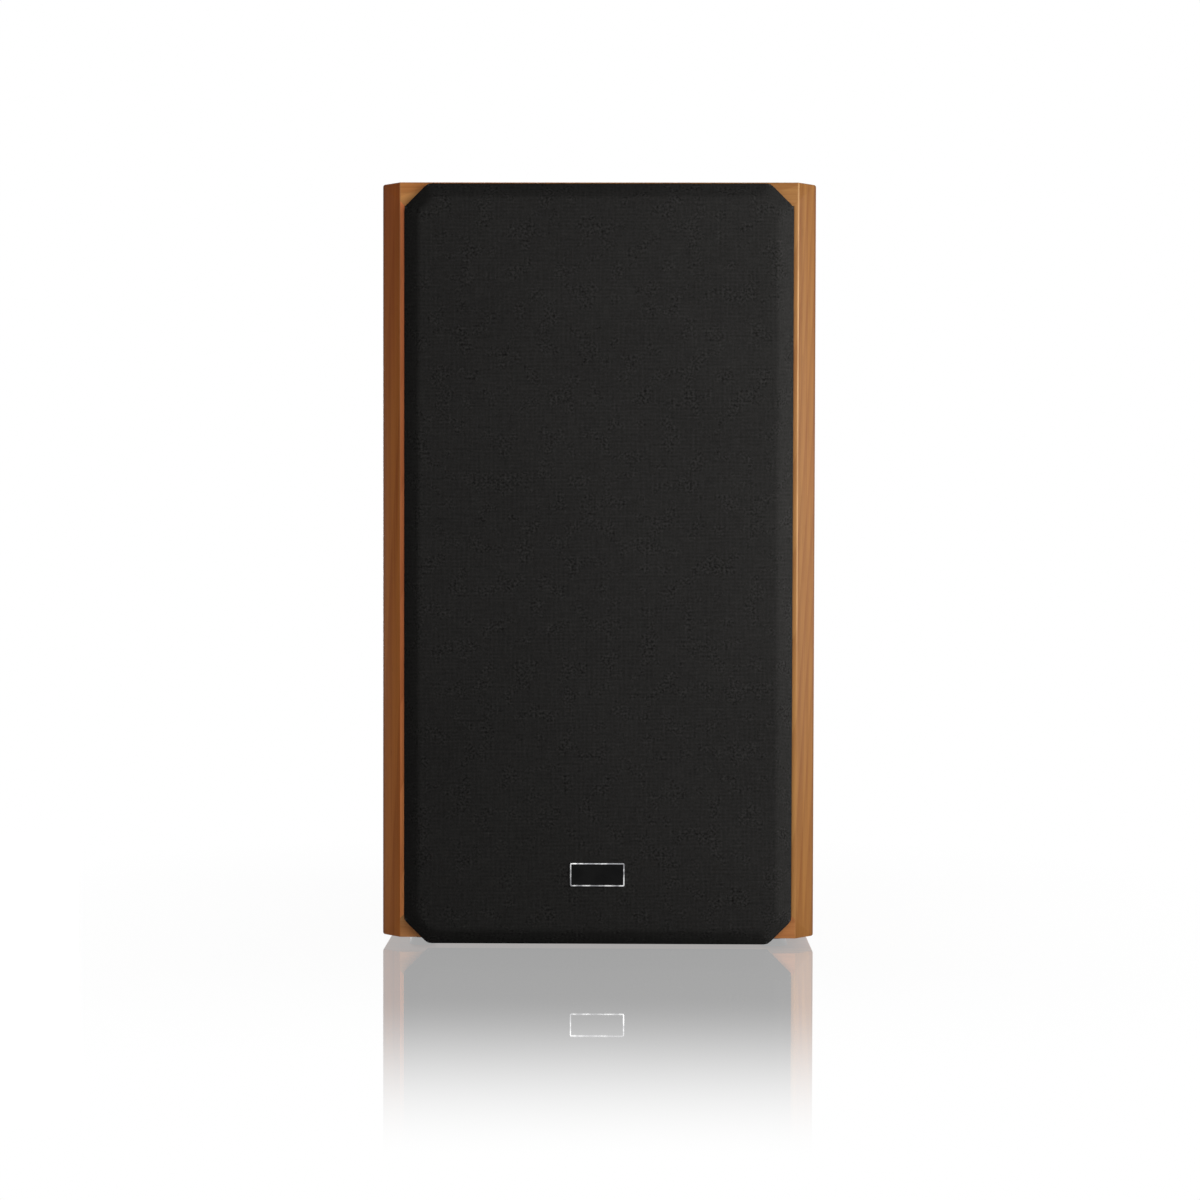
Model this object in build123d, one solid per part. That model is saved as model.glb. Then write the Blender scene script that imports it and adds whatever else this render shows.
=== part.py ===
from build123d import *

import os
from dataclasses import dataclass
from math import asin, cos, pi, radians, sin, tan

# A three-way loudspeaker that stands on the floor: a mitred wooden cabinet with chamfered front
# edges, a bevelled cloth grille on pegs, a 10-inch woofer, a 5-inch midrange in its own chamber,
# a one-inch dome tweeter, a rear port, a crossover and a pair of screw terminals.
# Millimetres, +Z up, the front faces -Y, origin at the bottom centre of the whole.

# ---------------------------------------------------------------- cabinet
cabinet_width = 351.0
cabinet_height = 610.0
cabinet_depth = 290.0
panel_thickness = 19.0
edge_chamfer = 15.0
baffle_thickness = 19.0
back_thickness = 16.0
back_inset = 6.0
cleat_width = 18.0
brace_thickness = 15.0
brace_rim = 42.0
brace_corner = 25.0
foot_height = 6.0
foot_radius = 11.0
foot_taper = 1.5
foot_inset = 30.0

# ---------------------------------------------------------------- grille
grille_width = 312.5
grille_drop = 3.6
grille_top_reveal = 2.0
corner_clip = 19.0
bevel_width = 12.5
bevel_depth = 12.0
bevel_start = 9.2
cloth_thickness = 0.7
cloth_gap = 0.2
cloth_standoff = 0.8
cloth_return = 8.0
rail_width = 28.0
bottom_rail = 66.0
crossbar_height = 9.0
crossbar_depth = 8.0
peg_radius = 3.2
peg_length = 12.0
peg_taper = 1.5
peg_base_radius = 6.5
peg_base_thickness = 3.0
peg_inset = 14.0
peg_wall_gap = 1.3
cup_radius = 5.2
cup_flange_radius = 7.5
cup_flange_thickness = 0.6
cup_floor = 1.5
cup_floor_gap = 1.0
peg_clearance = 0.3
badge_width = 43.6
badge_height = 18.6
badge_up = 54.4
badge_rim_width = 1.4
badge_field_thickness = 1.4
badge_rim_thickness = 2.2
badge_corner = 1.2
badge_pin_radius = 1.2
badge_pin_spacing = 26.0
badge_pin_length = 9.0

# ---------------------------------------------------------------- where the drivers sit
woofer_up = 195.0
driver_gap = 11.0
tweeter_gap = 9.0

# ---------------------------------------------------------------- fasteners and small clearances
fit_gap = 0.1
screw_play = 0.4
frame_play = 0.6
screw_head_height = 2.4
foot_screw_sink = 0.8
screw_recess_depth = 1.2
driver_screw_radius = 2.1
driver_screw_length = 20.0
panel_screw_radius = 2.0
panel_screw_length = 30.0
panel_screw_head_height = 2.6
small_screw_radius = 1.75
small_screw_length = 16.0


@dataclass
class ConeDriver:
    """Sizes of a cone driver; heights are measured from the front of the baffle."""

    flange_radius: float
    screw_circle: float
    screw_count: int
    screw_start: float
    cutout_radius: float
    sheet: float
    shelf_drop: float
    shelf_width: float
    roll_radius: float
    surround_thickness: float
    land_width: float
    gasket_height: float
    cone_depth: float
    cone_thickness: float
    coil_radius: float
    former_thickness: float
    winding_thickness: float
    winding_height: float
    magnet_gap: float
    cap_radius: float
    cap_height: float
    cap_thickness: float
    spider_depth: float
    spider_radius: float
    spider_thickness: float
    spider_waves: int
    ledge_width: float
    basket_depth: float
    window_count: int
    window_angle: float
    window_margin: float
    vent_radius: float
    plate_radius: float
    plate_thickness: float
    magnet_radius: float
    magnet_thickness: float
    yoke_thickness: float
    travel: float


woofer = ConeDriver(
    flange_radius=125.0, screw_circle=119.0, screw_count=8, screw_start=22.5,
    cutout_radius=113.0, sheet=2.0, shelf_drop=2.0, shelf_width=8.0,
    roll_radius=7.5, surround_thickness=1.0, land_width=3.5,
    gasket_height=2.6, cone_depth=40.0, cone_thickness=1.2, coil_radius=25.5,
    former_thickness=0.5, winding_thickness=1.1, winding_height=14.0, magnet_gap=0.7,
    cap_radius=34.0, cap_height=11.0, cap_thickness=0.8, spider_depth=50.0, spider_radius=65.0,
    spider_thickness=0.6, spider_waves=4, ledge_width=5.0, basket_depth=70.0, window_count=6,
    window_angle=40.0, window_margin=9.0, vent_radius=8.5, plate_radius=55.0, plate_thickness=8.0,
    magnet_radius=62.0, magnet_thickness=18.0,
    yoke_thickness=7.0, travel=6.0,
)
midrange = ConeDriver(
    flange_radius=65.0, screw_circle=60.8, screw_count=4, screw_start=45.0,
    cutout_radius=56.0, sheet=1.5, shelf_drop=1.5, shelf_width=5.0,
    roll_radius=3.4, surround_thickness=0.7, land_width=2.5,
    gasket_height=1.8, cone_depth=19.0, cone_thickness=0.8, coil_radius=13.0,
    former_thickness=0.4, winding_thickness=0.7, winding_height=7.0, magnet_gap=0.5,
    cap_radius=17.0, cap_height=6.0, cap_thickness=0.7, spider_depth=24.0, spider_radius=34.0,
    spider_thickness=0.5, spider_waves=3, ledge_width=5.0, basket_depth=34.0, window_count=4,
    window_angle=50.0, window_margin=4.32, vent_radius=4.2, plate_radius=32.0, plate_thickness=5.0,
    magnet_radius=37.0, magnet_thickness=12.0,
    yoke_thickness=5.0, travel=1.5,
)

# Steps and gaps that both cone drivers share.
land_overlap = 1.0
spider_play = 1.0
spider_gap = 0.2
spider_land = 2.5
spider_rise = 0.45
basket_lip = 3.0
magnet_step = 5.0
glue_gap = 0.1
glue_lap = 0.05
window_start = 15.0

# ---------------------------------------------------------------- midrange chamber
chamber_wall = 3.0
chamber_gap = 4.0
chamber_flange = 8.0

# ---------------------------------------------------------------- dome tweeter
tweeter_flange_radius = 52.0
tweeter_flange_thickness = 4.0
tweeter_screw_circle = 44.0
tweeter_screw_count = 4
tweeter_screw_start = 45.0
tweeter_screw_sink = 3.0
tweeter_cutout_radius = 37.0
tweeter_boss_depth = 3.0
tweeter_mouth_radius = 18.0
tweeter_dome_radius = 13.0
tweeter_dome_height = 5.5
tweeter_dome_thickness = 0.35
tweeter_roll_radius = 1.9
tweeter_skin = 0.4
tweeter_land_outer = 21.5
tweeter_coil_height = 3.0
tweeter_former_depth = 5.2
tweeter_winding = 0.4
tweeter_former = 0.2
tweeter_magnet_gap = 0.4
tweeter_plate_radius = 33.0
tweeter_plate_thickness = 4.0
tweeter_magnet_radius = 35.0
tweeter_magnet_bore = 19.0
tweeter_magnet_thickness = 10.0
tweeter_yoke_thickness = 4.0
tweeter_travel = 0.3
tweeter_rim_bevel = 1.5
tweeter_horn_radius = 34.0
tweeter_horn_sink = 0.6
tweeter_boss_gap = 1.0
tweeter_inner_land = 0.7
tweeter_roll_gap = 0.3

# ---------------------------------------------------------------- port in the back panel
port_up = 470.0
port_radius = 32.0
port_wall = 3.0
port_length = 112.0
port_flange_radius = 46.0
port_flange_thickness = 3.0
port_flare = 9.0

# ---------------------------------------------------------------- terminals
terminal_up = 150.0
terminal_flange_width = 130.0
terminal_flange_height = 86.0
terminal_flange_thickness = 3.0
terminal_corner = 6.0
recess_width = 96.0
recess_height = 52.0
recess_depth = 30.0
recess_taper = 4.0
recess_corner = 5.0
terminal_wall = 2.5
terminal_screw_x = 57.0
terminal_screw_z = 35.0
post_spacing = 19.0
post_radius = 3.0
post_collar_radius = 5.5
post_collar_height = 2.0
post_tail = 11.0
socket_radius = 2.05
socket_depth = 12.0
wire_hole_radius = 1.3
wire_hole_offset = 2.2
washer_radius = 6.0
washer_thickness = 1.0
cap_radius = 7.2
cap_length = 16.0
cap_flutes = 18
cap_flute_radius = 0.9
cap_flute_offset = 0.3
cap_collar = 2.5
cap_bevel = 1.0
post_clearance = 0.2
nut_width = 10.0
nut_height = 4.0

# ---------------------------------------------------------------- crossover
board_width = 160.0
board_length = 112.0
board_thickness = 6.0
board_front = 128.0
board_screw_inset = 8.0
# Coils and capacitors: radius, height or length, x, and how far behind the board's front edge.
coil_sizes = [(24.0, 20.0, -50.0, 28.0), (19.0, 16.0, 52.0, 24.0), (14.0, 12.0, 56.0, 76.0)]
coil_bore = 8.0
coil_flange = 1.5
coil_cheek = 1.5
capacitor_sizes = [(10.5, 42.0, -8.0, 30.0), (8.5, 36.0, 14.0, 30.0), (7.0, 30.0, -44.0, 72.0)]
resistor_size = (48.0, 10.0, 9.0)
resistor_edge = 1.0
resistor_places = [(-38.0, 92.0), (14.0, 92.0)]

# ---------------------------------------------------------------- wadding and wiring
wadding_thickness = 24.0
wadding_gap = 0.3
cable_radius = 2.0
tab_board = (26.0, 11.0, 1.6)
tab_size = (5.0, 7.0, 0.8)

# ---------------------------------------------------------------- worked-out places
grille_front = bevel_start + bevel_depth
overall_front = grille_front + badge_rim_thickness + fit_gap
overall_depth = cabinet_depth + overall_front
front_y = overall_front - overall_depth / 2
inner_x = cabinet_width / 2 - panel_thickness
inner_top = cabinet_height - panel_thickness
grille_bottom = -grille_drop
grille_top = cabinet_height - grille_top_reveal
midrange_up = woofer_up + woofer.flange_radius + driver_gap + midrange.flange_radius
tweeter_up = midrange_up + midrange.flange_radius + tweeter_gap + tweeter_flange_radius
chamber_radius = midrange.flange_radius + chamber_gap
brace_up = (woofer_up + woofer.cutout_radius + midrange_up - chamber_radius - chamber_flange / 2) / 2

# Local frames: x, then up from the cabinet's underside, then out of the face.
front = Plane(origin=(0, front_y, foot_height), x_dir=(1, 0, 0), z_dir=(0, -1, 0))
rear = Plane(origin=(0, front_y + cabinet_depth, foot_height), x_dir=(-1, 0, 0), z_dir=(0, 1, 0))
floor = Plane(origin=(0, front_y, foot_height), x_dir=(1, 0, 0), z_dir=(0, 0, 1))

nodes = {}


# ================================================================ helpers
def at(plane, shape, x=0.0, up=0.0, out=0.0):
    """Moves a shape from the origin to a place in one of the local frames."""
    return plane.location * Pos(x, up, out) * shape


def slab(plane, x0, x1, up0, up1, out0, out1):
    """A box between two corners of a local frame."""
    box = Box(x1 - x0, up1 - up0, out1 - out0, align=(Align.MIN, Align.MIN, Align.MIN))
    return at(plane, box, x0, up0, out0)


def rod(radius, low, high):
    """A cylinder on the local Z axis between two heights."""
    return Pos(0, 0, low) * Cylinder(radius, high - low, align=(Align.CENTER, Align.CENTER, Align.MIN))


def ring(outer, inner, low, high):
    return rod(outer, low, high) - rod(inner, low - 1, high + 1)


def turned(*edges):
    """Revolves a closed outline of edges drawn as (radius, height) about the local Z axis."""
    return revolve(Plane.XZ * make_face(edges), Axis.Z)


def turned_polygon(*points):
    return turned(Polyline(*points, close=True))


def circle_of(count, radius, start_angle=0.0):
    """Places on a circle, as (x, y) pairs."""
    step = 2 * pi / count
    angles = [radians(start_angle) + step * i for i in range(count)]
    return [(radius * cos(a), radius * sin(a)) for a in angles]


def pan_screw(radius, length, head_height):
    """A pan-head screw: its head stands on z = 0 and its point looks down."""
    head_radius = 2 * radius
    head = turned_polygon(
        (0, 0), (head_radius, 0), (head_radius, head_height * 0.45),
        (head_radius * 0.75, head_height), (0, head_height),
    )
    shank = turned_polygon(
        (0, 0), (0, -length), (radius * 0.3, -length), (radius, -length + 2 * radius), (radius, 0),
    )
    blade = Box(head_radius * 1.1, radius * 0.45, screw_recess_depth)
    cross = Pos(0, 0, head_height - screw_recess_depth / 2) * (blade + Rot(0, 0, 90) * blade)
    return head + shank - cross


def dome_arc(radius, height, base):
    """The arc of a shallow dome from its crown to its rim."""
    sphere = (radius**2 + height**2) / (2 * height)
    half = asin(radius / sphere) / 2
    middle = (sphere * sin(half), base + height - sphere * (1 - cos(half)))
    return ThreePointArc((0, base + height), middle, (radius, base))


def dome_shell(radius, height, base, thickness):
    """A thin dome whose rim stands on the height called base."""
    outer = dome_arc(radius, height, base + thickness)
    inner = dome_arc(radius, height, base)
    rim = Line((radius, base + thickness), (radius, base))
    axis = Line((0, base + height), (0, base + height + thickness))
    return turned(outer, rim, inner, axis)


def half_roll(inner_land, roll_inner, roll_outer, outer_land, base, thickness):
    """A surround: two flat lands with one half-round roll between them."""
    middle = (roll_inner + roll_outer) / 2
    radius = (roll_outer - roll_inner) / 2

    def profile(height):
        return [
            Line((inner_land, height), (roll_inner, height)),
            ThreePointArc((roll_inner, height), (middle, height + radius), (roll_outer, height)),
            Line((roll_outer, height), (outer_land, height)),
        ]

    ends = [
        Line((inner_land, base), (inner_land, base + thickness)),
        Line((outer_land, base), (outer_land, base + thickness)),
    ]
    return turned(*profile(base), *profile(base + thickness), *ends)


def octagon(width, low, high, clip):
    """The grille's outline: a rectangle with its four corners cut off."""
    half = width / 2
    return Polyline(
        (-half + clip, low), (half - clip, low), (half, low + clip), (half, high - clip),
        (half - clip, high), (-half + clip, high), (-half, high - clip), (-half, low + clip),
        close=True,
    )


def grille_block(inset, back, start, face):
    """The grille's bevelled block, drawn in by an even inset on every side."""
    clip = corner_clip - inset * (2 - 2**0.5)
    outer = octagon(grille_width - 2 * inset, grille_bottom + inset, grille_top - inset, clip)
    small = inset + bevel_width
    small_clip = corner_clip - small * (2 - 2**0.5)
    inner = octagon(grille_width - 2 * small, grille_bottom + small, grille_top - small, small_clip)
    sides = extrude(Pos(0, 0, back) * make_face(outer), amount=start - back)
    bevel = loft([Pos(0, 0, start) * make_face(outer), Pos(0, 0, face) * make_face(inner)], ruled=True)
    return sides + bevel


def group(solids):
    return Compound(list(solids))


def cut_away(solid, others):
    """Cuts a list of other solids out of a solid."""
    for other in others:
        solid = solid - other
    return solid


# ================================================================ places shared by several pieces
def driver_screw_places():
    """Where the drivers' screws enter the baffle: x, up, and the height of the screw's seat."""
    places = []
    for driver, up in ((woofer, woofer_up), (midrange, midrange_up)):
        for x, y in circle_of(driver.screw_count, driver.screw_circle, driver.screw_start):
            places.append((x, up + y, driver.sheet))
    for x, y in circle_of(tweeter_screw_count, tweeter_screw_circle, tweeter_screw_start):
        places.append((x, tweeter_up + y, tweeter_screw_sink))
    return places


def back_screw_places():
    """The back panel's screws: down both sides, with one at the top and one at the bottom."""
    side = inner_x - cleat_width / 2
    low = panel_thickness + cleat_width / 2
    high = inner_top - cleat_width / 2
    rows = 5
    places = []
    for i in range(rows):
        up = low + (high - low) * i / (rows - 1)
        places += [(-side, up), (side, up)]
    return places + [(0, low), (0, high)]


def terminal_screw_places():
    signs = [(-1, -1), (1, -1), (1, 1), (-1, 1)]
    return [(sx * terminal_screw_x, terminal_up + sz * terminal_screw_z) for sx, sz in signs]


def board_screw_places():
    side = board_width / 2 - board_screw_inset
    near = board_front + board_screw_inset
    far = board_front + board_length - board_screw_inset
    return [(-side, near), (side, near), (side, far), (-side, far)]


def foot_places():
    side = cabinet_width / 2 - foot_inset
    near = foot_inset + edge_chamfer
    far = cabinet_depth - foot_inset
    return [(-side, near), (side, near), (side, far), (-side, far)]


def peg_places():
    side = grille_width / 2 - peg_inset
    low = grille_bottom + bottom_rail / 2
    high = inner_top - cup_radius - peg_wall_gap
    middle = crossbar_up()
    return [(sx * side, up) for up in (low, middle, high) for sx in (-1, 1)]


def crossbar_up():
    return woofer_up + woofer.flange_radius + driver_gap / 2


# ================================================================ cabinet
def corner_prisms():
    """What the chamfer takes off the two front corners, over the whole height."""
    half = cabinet_width / 2
    prisms = []
    for side in (-1, 1):
        corner = Polyline(
            (side * half, 0), (side * (half - edge_chamfer), 0), (side * half, edge_chamfer),
            close=True,
        )
        prisms.append(extrude(floor.location * make_face(corner), amount=cabinet_height))
    return prisms


def mitred_panel(*points):
    """A cabinet panel from its mitred end view, with the front corners chamfered."""
    board = extrude(front.location * make_face(Polyline(*points, close=True)), amount=-cabinet_depth)
    return cut_away(board, corner_prisms())


def make_cabinet():
    half = cabinet_width / 2
    height = cabinet_height
    t = panel_thickness
    for name, side in (("left", -1), ("right", 1)):
        outer, inner = side * half, side * inner_x
        board = mitred_panel((outer, 0), (outer, height), (inner, inner_top), (inner, t))
        nodes[f"side_panel_{name}"] = board
    top = mitred_panel((-half, height), (half, height), (inner_x, inner_top), (-inner_x, inner_top))
    nodes["top_panel"] = top
    bottom = mitred_panel((-half, 0), (half, 0), (inner_x, t), (-inner_x, t))
    pilot = rod(small_screw_radius + fit_gap / 2, -1, small_screw_length)
    for x, depth in foot_places():
        bottom -= at(floor, pilot, x, depth)
    for x, depth in board_screw_places():
        bottom -= at(floor, Pos(0, 0, t + board_thickness) * Rot(180, 0, 0) * pilot, x, depth)
    nodes["bottom_panel"] = bottom


def make_baffle():
    baffle = slab(front, -inner_x, inner_x, panel_thickness, inner_top, -baffle_thickness, 0)
    through = -baffle_thickness - 1
    baffle -= at(front, rod(woofer.cutout_radius, through, 1), 0, woofer_up)
    baffle -= at(front, rod(midrange.cutout_radius, through, 1), 0, midrange_up)
    baffle -= at(front, rod(tweeter_cutout_radius, through, 1), 0, tweeter_up)
    for x, up in peg_places():
        baffle -= at(front, rod(cup_radius + fit_gap, through, 1), x, up)
    pilot = rod(driver_screw_radius + fit_gap / 2, through, 1)
    for x, up, _ in driver_screw_places():
        baffle -= at(front, pilot, x, up)
    nodes["front_baffle"] = baffle


def cleat_boxes():
    """Corner strips behind the baffle and in front of the back panel."""
    low, high = panel_thickness, inner_top
    front_out = -baffle_thickness
    back_out = -(cabinet_depth - back_inset - back_thickness - cleat_width)
    strips = []
    for near in (front_out, back_out):
        far = near - cleat_width
        for side in (-1, 1):
            x0, x1 = sorted((side * inner_x, side * (inner_x - cleat_width)))
            strips.append(slab(front, x0, x1, low, high, far, near))
        inner = inner_x - cleat_width
        strips.append(slab(front, -inner, inner, low, low + cleat_width, far, near))
        strips.append(slab(front, -inner, inner, high - cleat_width, high, far, near))
    return strips


def make_cleats_and_brace():
    cleats = cleat_boxes()
    window = Rectangle(2 * (inner_x - brace_rim), cabinet_depth - 2 * brace_rim - 2 * panel_thickness)
    window = extrude(fillet(window.vertices(), brace_corner), amount=brace_thickness + 2)
    back_face = cabinet_depth - back_inset - back_thickness
    low = brace_up - brace_thickness / 2
    brace = slab(front, -inner_x, inner_x, low, low + brace_thickness, -back_face, -baffle_thickness)
    middle = (baffle_thickness + back_face) / 2
    brace -= floor.location * Pos(0, middle, low - 1) * window
    nodes["shelf_brace"] = cut_away(brace, cleats)
    bore = rod(panel_screw_radius + fit_gap / 2, -back_inset - panel_screw_length - 1, 0)
    drilled = []
    for strip in cleats:
        near_back = strip.center().Y > front_y + cabinet_depth / 2
        bores = [at(rear, bore, x, up) for x, up in back_screw_places()] if near_back else []
        drilled.append(cut_away(strip, bores))
    nodes["corner_cleats"] = group(drilled)


def terminal_outline(grow):
    """The recess of the terminal cup, grown evenly by a wall or a clearance."""
    return RectangleRounded(recess_width + 2 * grow, recess_height + 2 * grow, recess_corner + grow)


def make_back_panel():
    outer = -back_inset
    inner = outer - back_thickness
    panel = slab(rear, -inner_x, inner_x, panel_thickness, inner_top, inner, outer)
    opening = extrude(terminal_outline(terminal_wall + fit_gap), amount=back_thickness + 2)
    panel -= at(rear, opening, 0, terminal_up, inner - 1)
    panel -= at(rear, rod(port_radius + port_wall + fit_gap, inner - 1, outer + 1), 0, port_up)
    for x, up in back_screw_places():
        panel -= at(rear, rod(panel_screw_radius + fit_gap / 2, inner - 1, outer + 1), x, up)
    for x, up in terminal_screw_places():
        panel -= at(rear, rod(small_screw_radius + fit_gap / 2, inner - 1, outer + 1), x, up)
    nodes["back_panel"] = panel
    screw = pan_screw(panel_screw_radius, panel_screw_length, panel_screw_head_height)
    nodes["back_panel_screws"] = group(at(rear, screw, x, up, outer) for x, up in back_screw_places())


def make_feet():
    """Four rubber bumpers, each with a pocket that hides the head of its screw."""
    pocket = 2 * small_screw_radius + frame_play
    seat = foot_height - screw_head_height - foot_screw_sink
    bore = small_screw_radius + fit_gap
    foot = turned_polygon(
        (bore, 0), (foot_radius, 0), (foot_radius - foot_taper, -foot_height), (pocket, -foot_height),
        (pocket, -foot_height + seat), (bore, -foot_height + seat),
    )
    nodes["rubber_feet"] = group(at(floor, foot, x, depth) for x, depth in foot_places())


def make_wadding():
    """Pads of polyester fill against the inside of the cabinet."""
    wall = inner_x - wadding_gap
    near = -(baffle_thickness + cleat_width + wadding_gap)
    far = -(cabinet_depth - back_inset - back_thickness - cleat_width - wadding_gap)
    shelf_low = brace_up - brace_thickness / 2 - wadding_gap
    shelf_high = brace_up + brace_thickness / 2 + wadding_gap
    ceiling = inner_top - wadding_gap
    under_top = ceiling - wadding_thickness
    pads = []
    for side in (-1, 1):
        x0, x1 = sorted((side * wall, side * (wall - wadding_thickness)))
        pads.append(slab(front, x0, x1, panel_thickness + wadding_gap, shelf_low, far, near))
        pads.append(slab(front, x0, x1, shelf_high, under_top - wadding_gap, far, near))
    pads.append(slab(front, -wall, wall, under_top, ceiling, far, near))
    nodes["damping_wadding"] = group(pads)


# ================================================================ grille
def make_grille():
    skin = cloth_thickness + cloth_gap
    back = cloth_standoff + skin
    block = grille_block(skin, back, bevel_start, grille_front - skin)
    half = grille_width / 2 - rail_width
    low = grille_bottom + bottom_rail
    high = grille_top - rail_width
    bar_low = crossbar_up() - crossbar_height / 2
    lower = slab(Plane.XY, -half, half, low, bar_low, 0, grille_front)
    upper = slab(Plane.XY, -half, half, bar_low + crossbar_height, high, 0, grille_front)
    relief = slab(Plane.XY, -half, half, low, high, back + crossbar_depth, grille_front)
    frame = block - lower - upper - relief
    peg_hole = rod(peg_base_radius + fit_gap, back - 1, back + peg_base_thickness)
    pin_depth = grille_front - badge_pin_length - screw_play
    pin_hole = rod(badge_pin_radius + fit_gap, pin_depth, grille_front + 1)
    for x, up in peg_places():
        frame -= Pos(x, up, 0) * peg_hole
    pins = [(side * badge_pin_spacing / 2, badge_up) for side in (-1, 1)]
    for x, up in pins:
        frame -= Pos(x, up, 0) * pin_hole
    nodes["grille_frame"] = front.location * frame

    outer = grille_block(0, cloth_standoff, bevel_start, grille_front)
    inner = grille_block(cloth_thickness, cloth_standoff + cloth_thickness, bevel_start,
                         grille_front - cloth_thickness)
    mouth_clip = corner_clip - cloth_return * (2 - 2**0.5)
    mouth = octagon(grille_width - 2 * cloth_return, grille_bottom + cloth_return,
                    grille_top - cloth_return, mouth_clip)
    cloth = outer - inner - extrude(make_face(mouth), amount=cloth_standoff + cloth_thickness + 0.1)
    for x, up in pins:
        cloth -= Pos(x, up, 0) * rod(badge_pin_radius + fit_gap, grille_front - 2, grille_front + 1)
    nodes["grille_cloth"] = front.location * cloth

    peg = rod(peg_base_radius, back, back + peg_base_thickness) + turned_polygon(
        (0, back), (peg_radius, back), (peg_radius, back - peg_length + peg_taper),
        (peg_radius - peg_taper / 2, back - peg_length), (0, back - peg_length),
    )
    nodes["grille_pegs"] = group(at(front, peg, x, up) for x, up in peg_places())

    bore = peg_radius + peg_clearance
    deep = back - peg_length - cup_floor_gap
    end = deep - cup_floor
    cup = turned_polygon(
        (0, end), (cup_radius, end), (cup_radius, 0), (cup_flange_radius, 0),
        (cup_flange_radius, cup_flange_thickness), (bore, cup_flange_thickness), (bore, deep), (0, deep),
    )
    nodes["grille_cups"] = group(at(front, cup, x, up) for x, up in peg_places())

    base = grille_front + fit_gap
    plate = extrude(RectangleRounded(badge_width, badge_height, badge_corner), amount=badge_rim_thickness)
    field = RectangleRounded(badge_width - 2 * badge_rim_width, badge_height - 2 * badge_rim_width,
                             badge_corner / 2)
    rim = plate - Pos(0, 0, -1) * extrude(field, amount=badge_rim_thickness + 2)
    nodes["badge_rim"] = at(front, rim, 0, badge_up, base)
    inset_field = offset(field, -fit_gap / 2)
    plate = extrude(inset_field, amount=badge_field_thickness)
    pin = rod(badge_pin_radius, -badge_pin_length, badge_field_thickness / 2)
    for side in (-1, 1):
        plate += Pos(side * badge_pin_spacing / 2, 0, 0) * pin
    nodes["badge_plate"] = at(front, plate, 0, badge_up, base)


# ================================================================ cone drivers
def make_cone_driver(name, d, up):
    """Builds one cone driver; its pieces share its name, and its gasket goes back to the caller."""
    step = d.cutout_radius - frame_play - d.sheet
    shelf_inner = step - d.shelf_width
    roll_outer = shelf_inner + land_overlap
    roll_inner = roll_outer - 2 * d.roll_radius
    cone_edge = roll_inner - d.land_width
    shelf = -d.shelf_drop
    back = -d.basket_depth - d.sheet
    plate_bore = d.coil_radius + d.winding_thickness + d.magnet_gap
    ledge_inner = d.spider_radius - d.ledge_width
    ledge_outer = d.spider_radius + spider_play
    plate_back = back - d.plate_thickness
    magnet_back = plate_back - d.magnet_thickness
    yoke_back = magnet_back - d.yoke_thickness
    inner_coil = d.coil_radius - d.former_thickness
    pole = inner_coil - d.magnet_gap
    cone_slope = d.cone_depth / (cone_edge - d.coil_radius)

    def put(piece, shape):
        nodes[f"{name}_{piece}"] = at(front, shape, 0, up)

    # Pressed-steel basket: one sheet with windows between its legs.
    path = Polyline(
        (plate_bore + basket_lip, -d.basket_depth), (ledge_inner, -d.basket_depth),
        (ledge_inner, -d.spider_depth), (ledge_outer, -d.spider_depth),
        (shelf_inner, shelf), (step, shelf), (step, d.sheet), (d.flange_radius, d.sheet),
    )
    sheet = make_face(offset(path, d.sheet, side=Side.RIGHT, kind=Kind.INTERSECTION))
    basket = revolve(Plane.XZ * sheet, Axis.Z)
    low = -d.spider_depth + d.window_margin
    high = shelf - d.shelf_width
    window = Plane.XZ * make_face(Polyline(
        (ledge_inner, low), (step, low), (step, high), (ledge_inner, high), close=True,
    ))
    window = revolve(window, Axis.Z, revolution_arc=d.window_angle)
    for i in range(d.window_count):
        basket -= Rot(0, 0, 360 * i / d.window_count + window_start) * window
    hole = rod(driver_screw_radius + screw_play, -1, d.sheet + 1)
    for x, y in circle_of(d.screw_count, d.screw_circle, d.screw_start):
        basket -= Pos(x, y, 0) * hole
    put("basket", basket)

    land = shelf + d.surround_thickness
    outer_land = step - 2 * fit_gap
    put("surround", half_roll(cone_edge, roll_inner, roll_outer, outer_land, shelf, d.surround_thickness))
    gasket = ring(step - fit_gap, roll_outer + land_overlap / 2, land, land + d.gasket_height)

    t = d.cone_thickness
    neck = shelf - d.cone_depth
    lip = roll_inner - 3 * fit_gap
    cone = turned_polygon(
        (lip, shelf), (cone_edge, shelf), (d.coil_radius, neck), (d.coil_radius, neck - t),
        (cone_edge, shelf - t), (lip, shelf - t),
    )
    put("cone", cone)
    cap_base = shelf - (cone_edge - d.cap_radius) * cone_slope + glue_gap
    put("dust_cap", dome_shell(d.cap_radius, d.cap_height, cap_base, d.cap_thickness))

    winding_middle = back - d.plate_thickness / 2
    winding_low = winding_middle - d.winding_height / 2
    glued = d.coil_radius - glue_lap
    former = ring(glued, inner_coil, winding_low, neck + d.cone_thickness)
    winding = ring(d.coil_radius + d.winding_thickness, glued, winding_low,
                   winding_low + d.winding_height)
    put("voice_coil", former + winding)
    print(name, "coil clears the yoke at full travel by", round(winding_low - d.travel - magnet_back, 1))

    put("spider", spider_shape(d))
    put("top_plate", ring(d.plate_radius, plate_bore, plate_back, back))
    put("magnet", ring(d.magnet_radius, plate_bore + magnet_step, magnet_back, plate_back))
    yoke = rod(d.plate_radius, yoke_back, magnet_back) + rod(pole, magnet_back - 1, back)
    put("yoke", yoke - rod(d.vent_radius, yoke_back - 1, back + 1))
    return at(front, gasket, 0, up)


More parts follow.
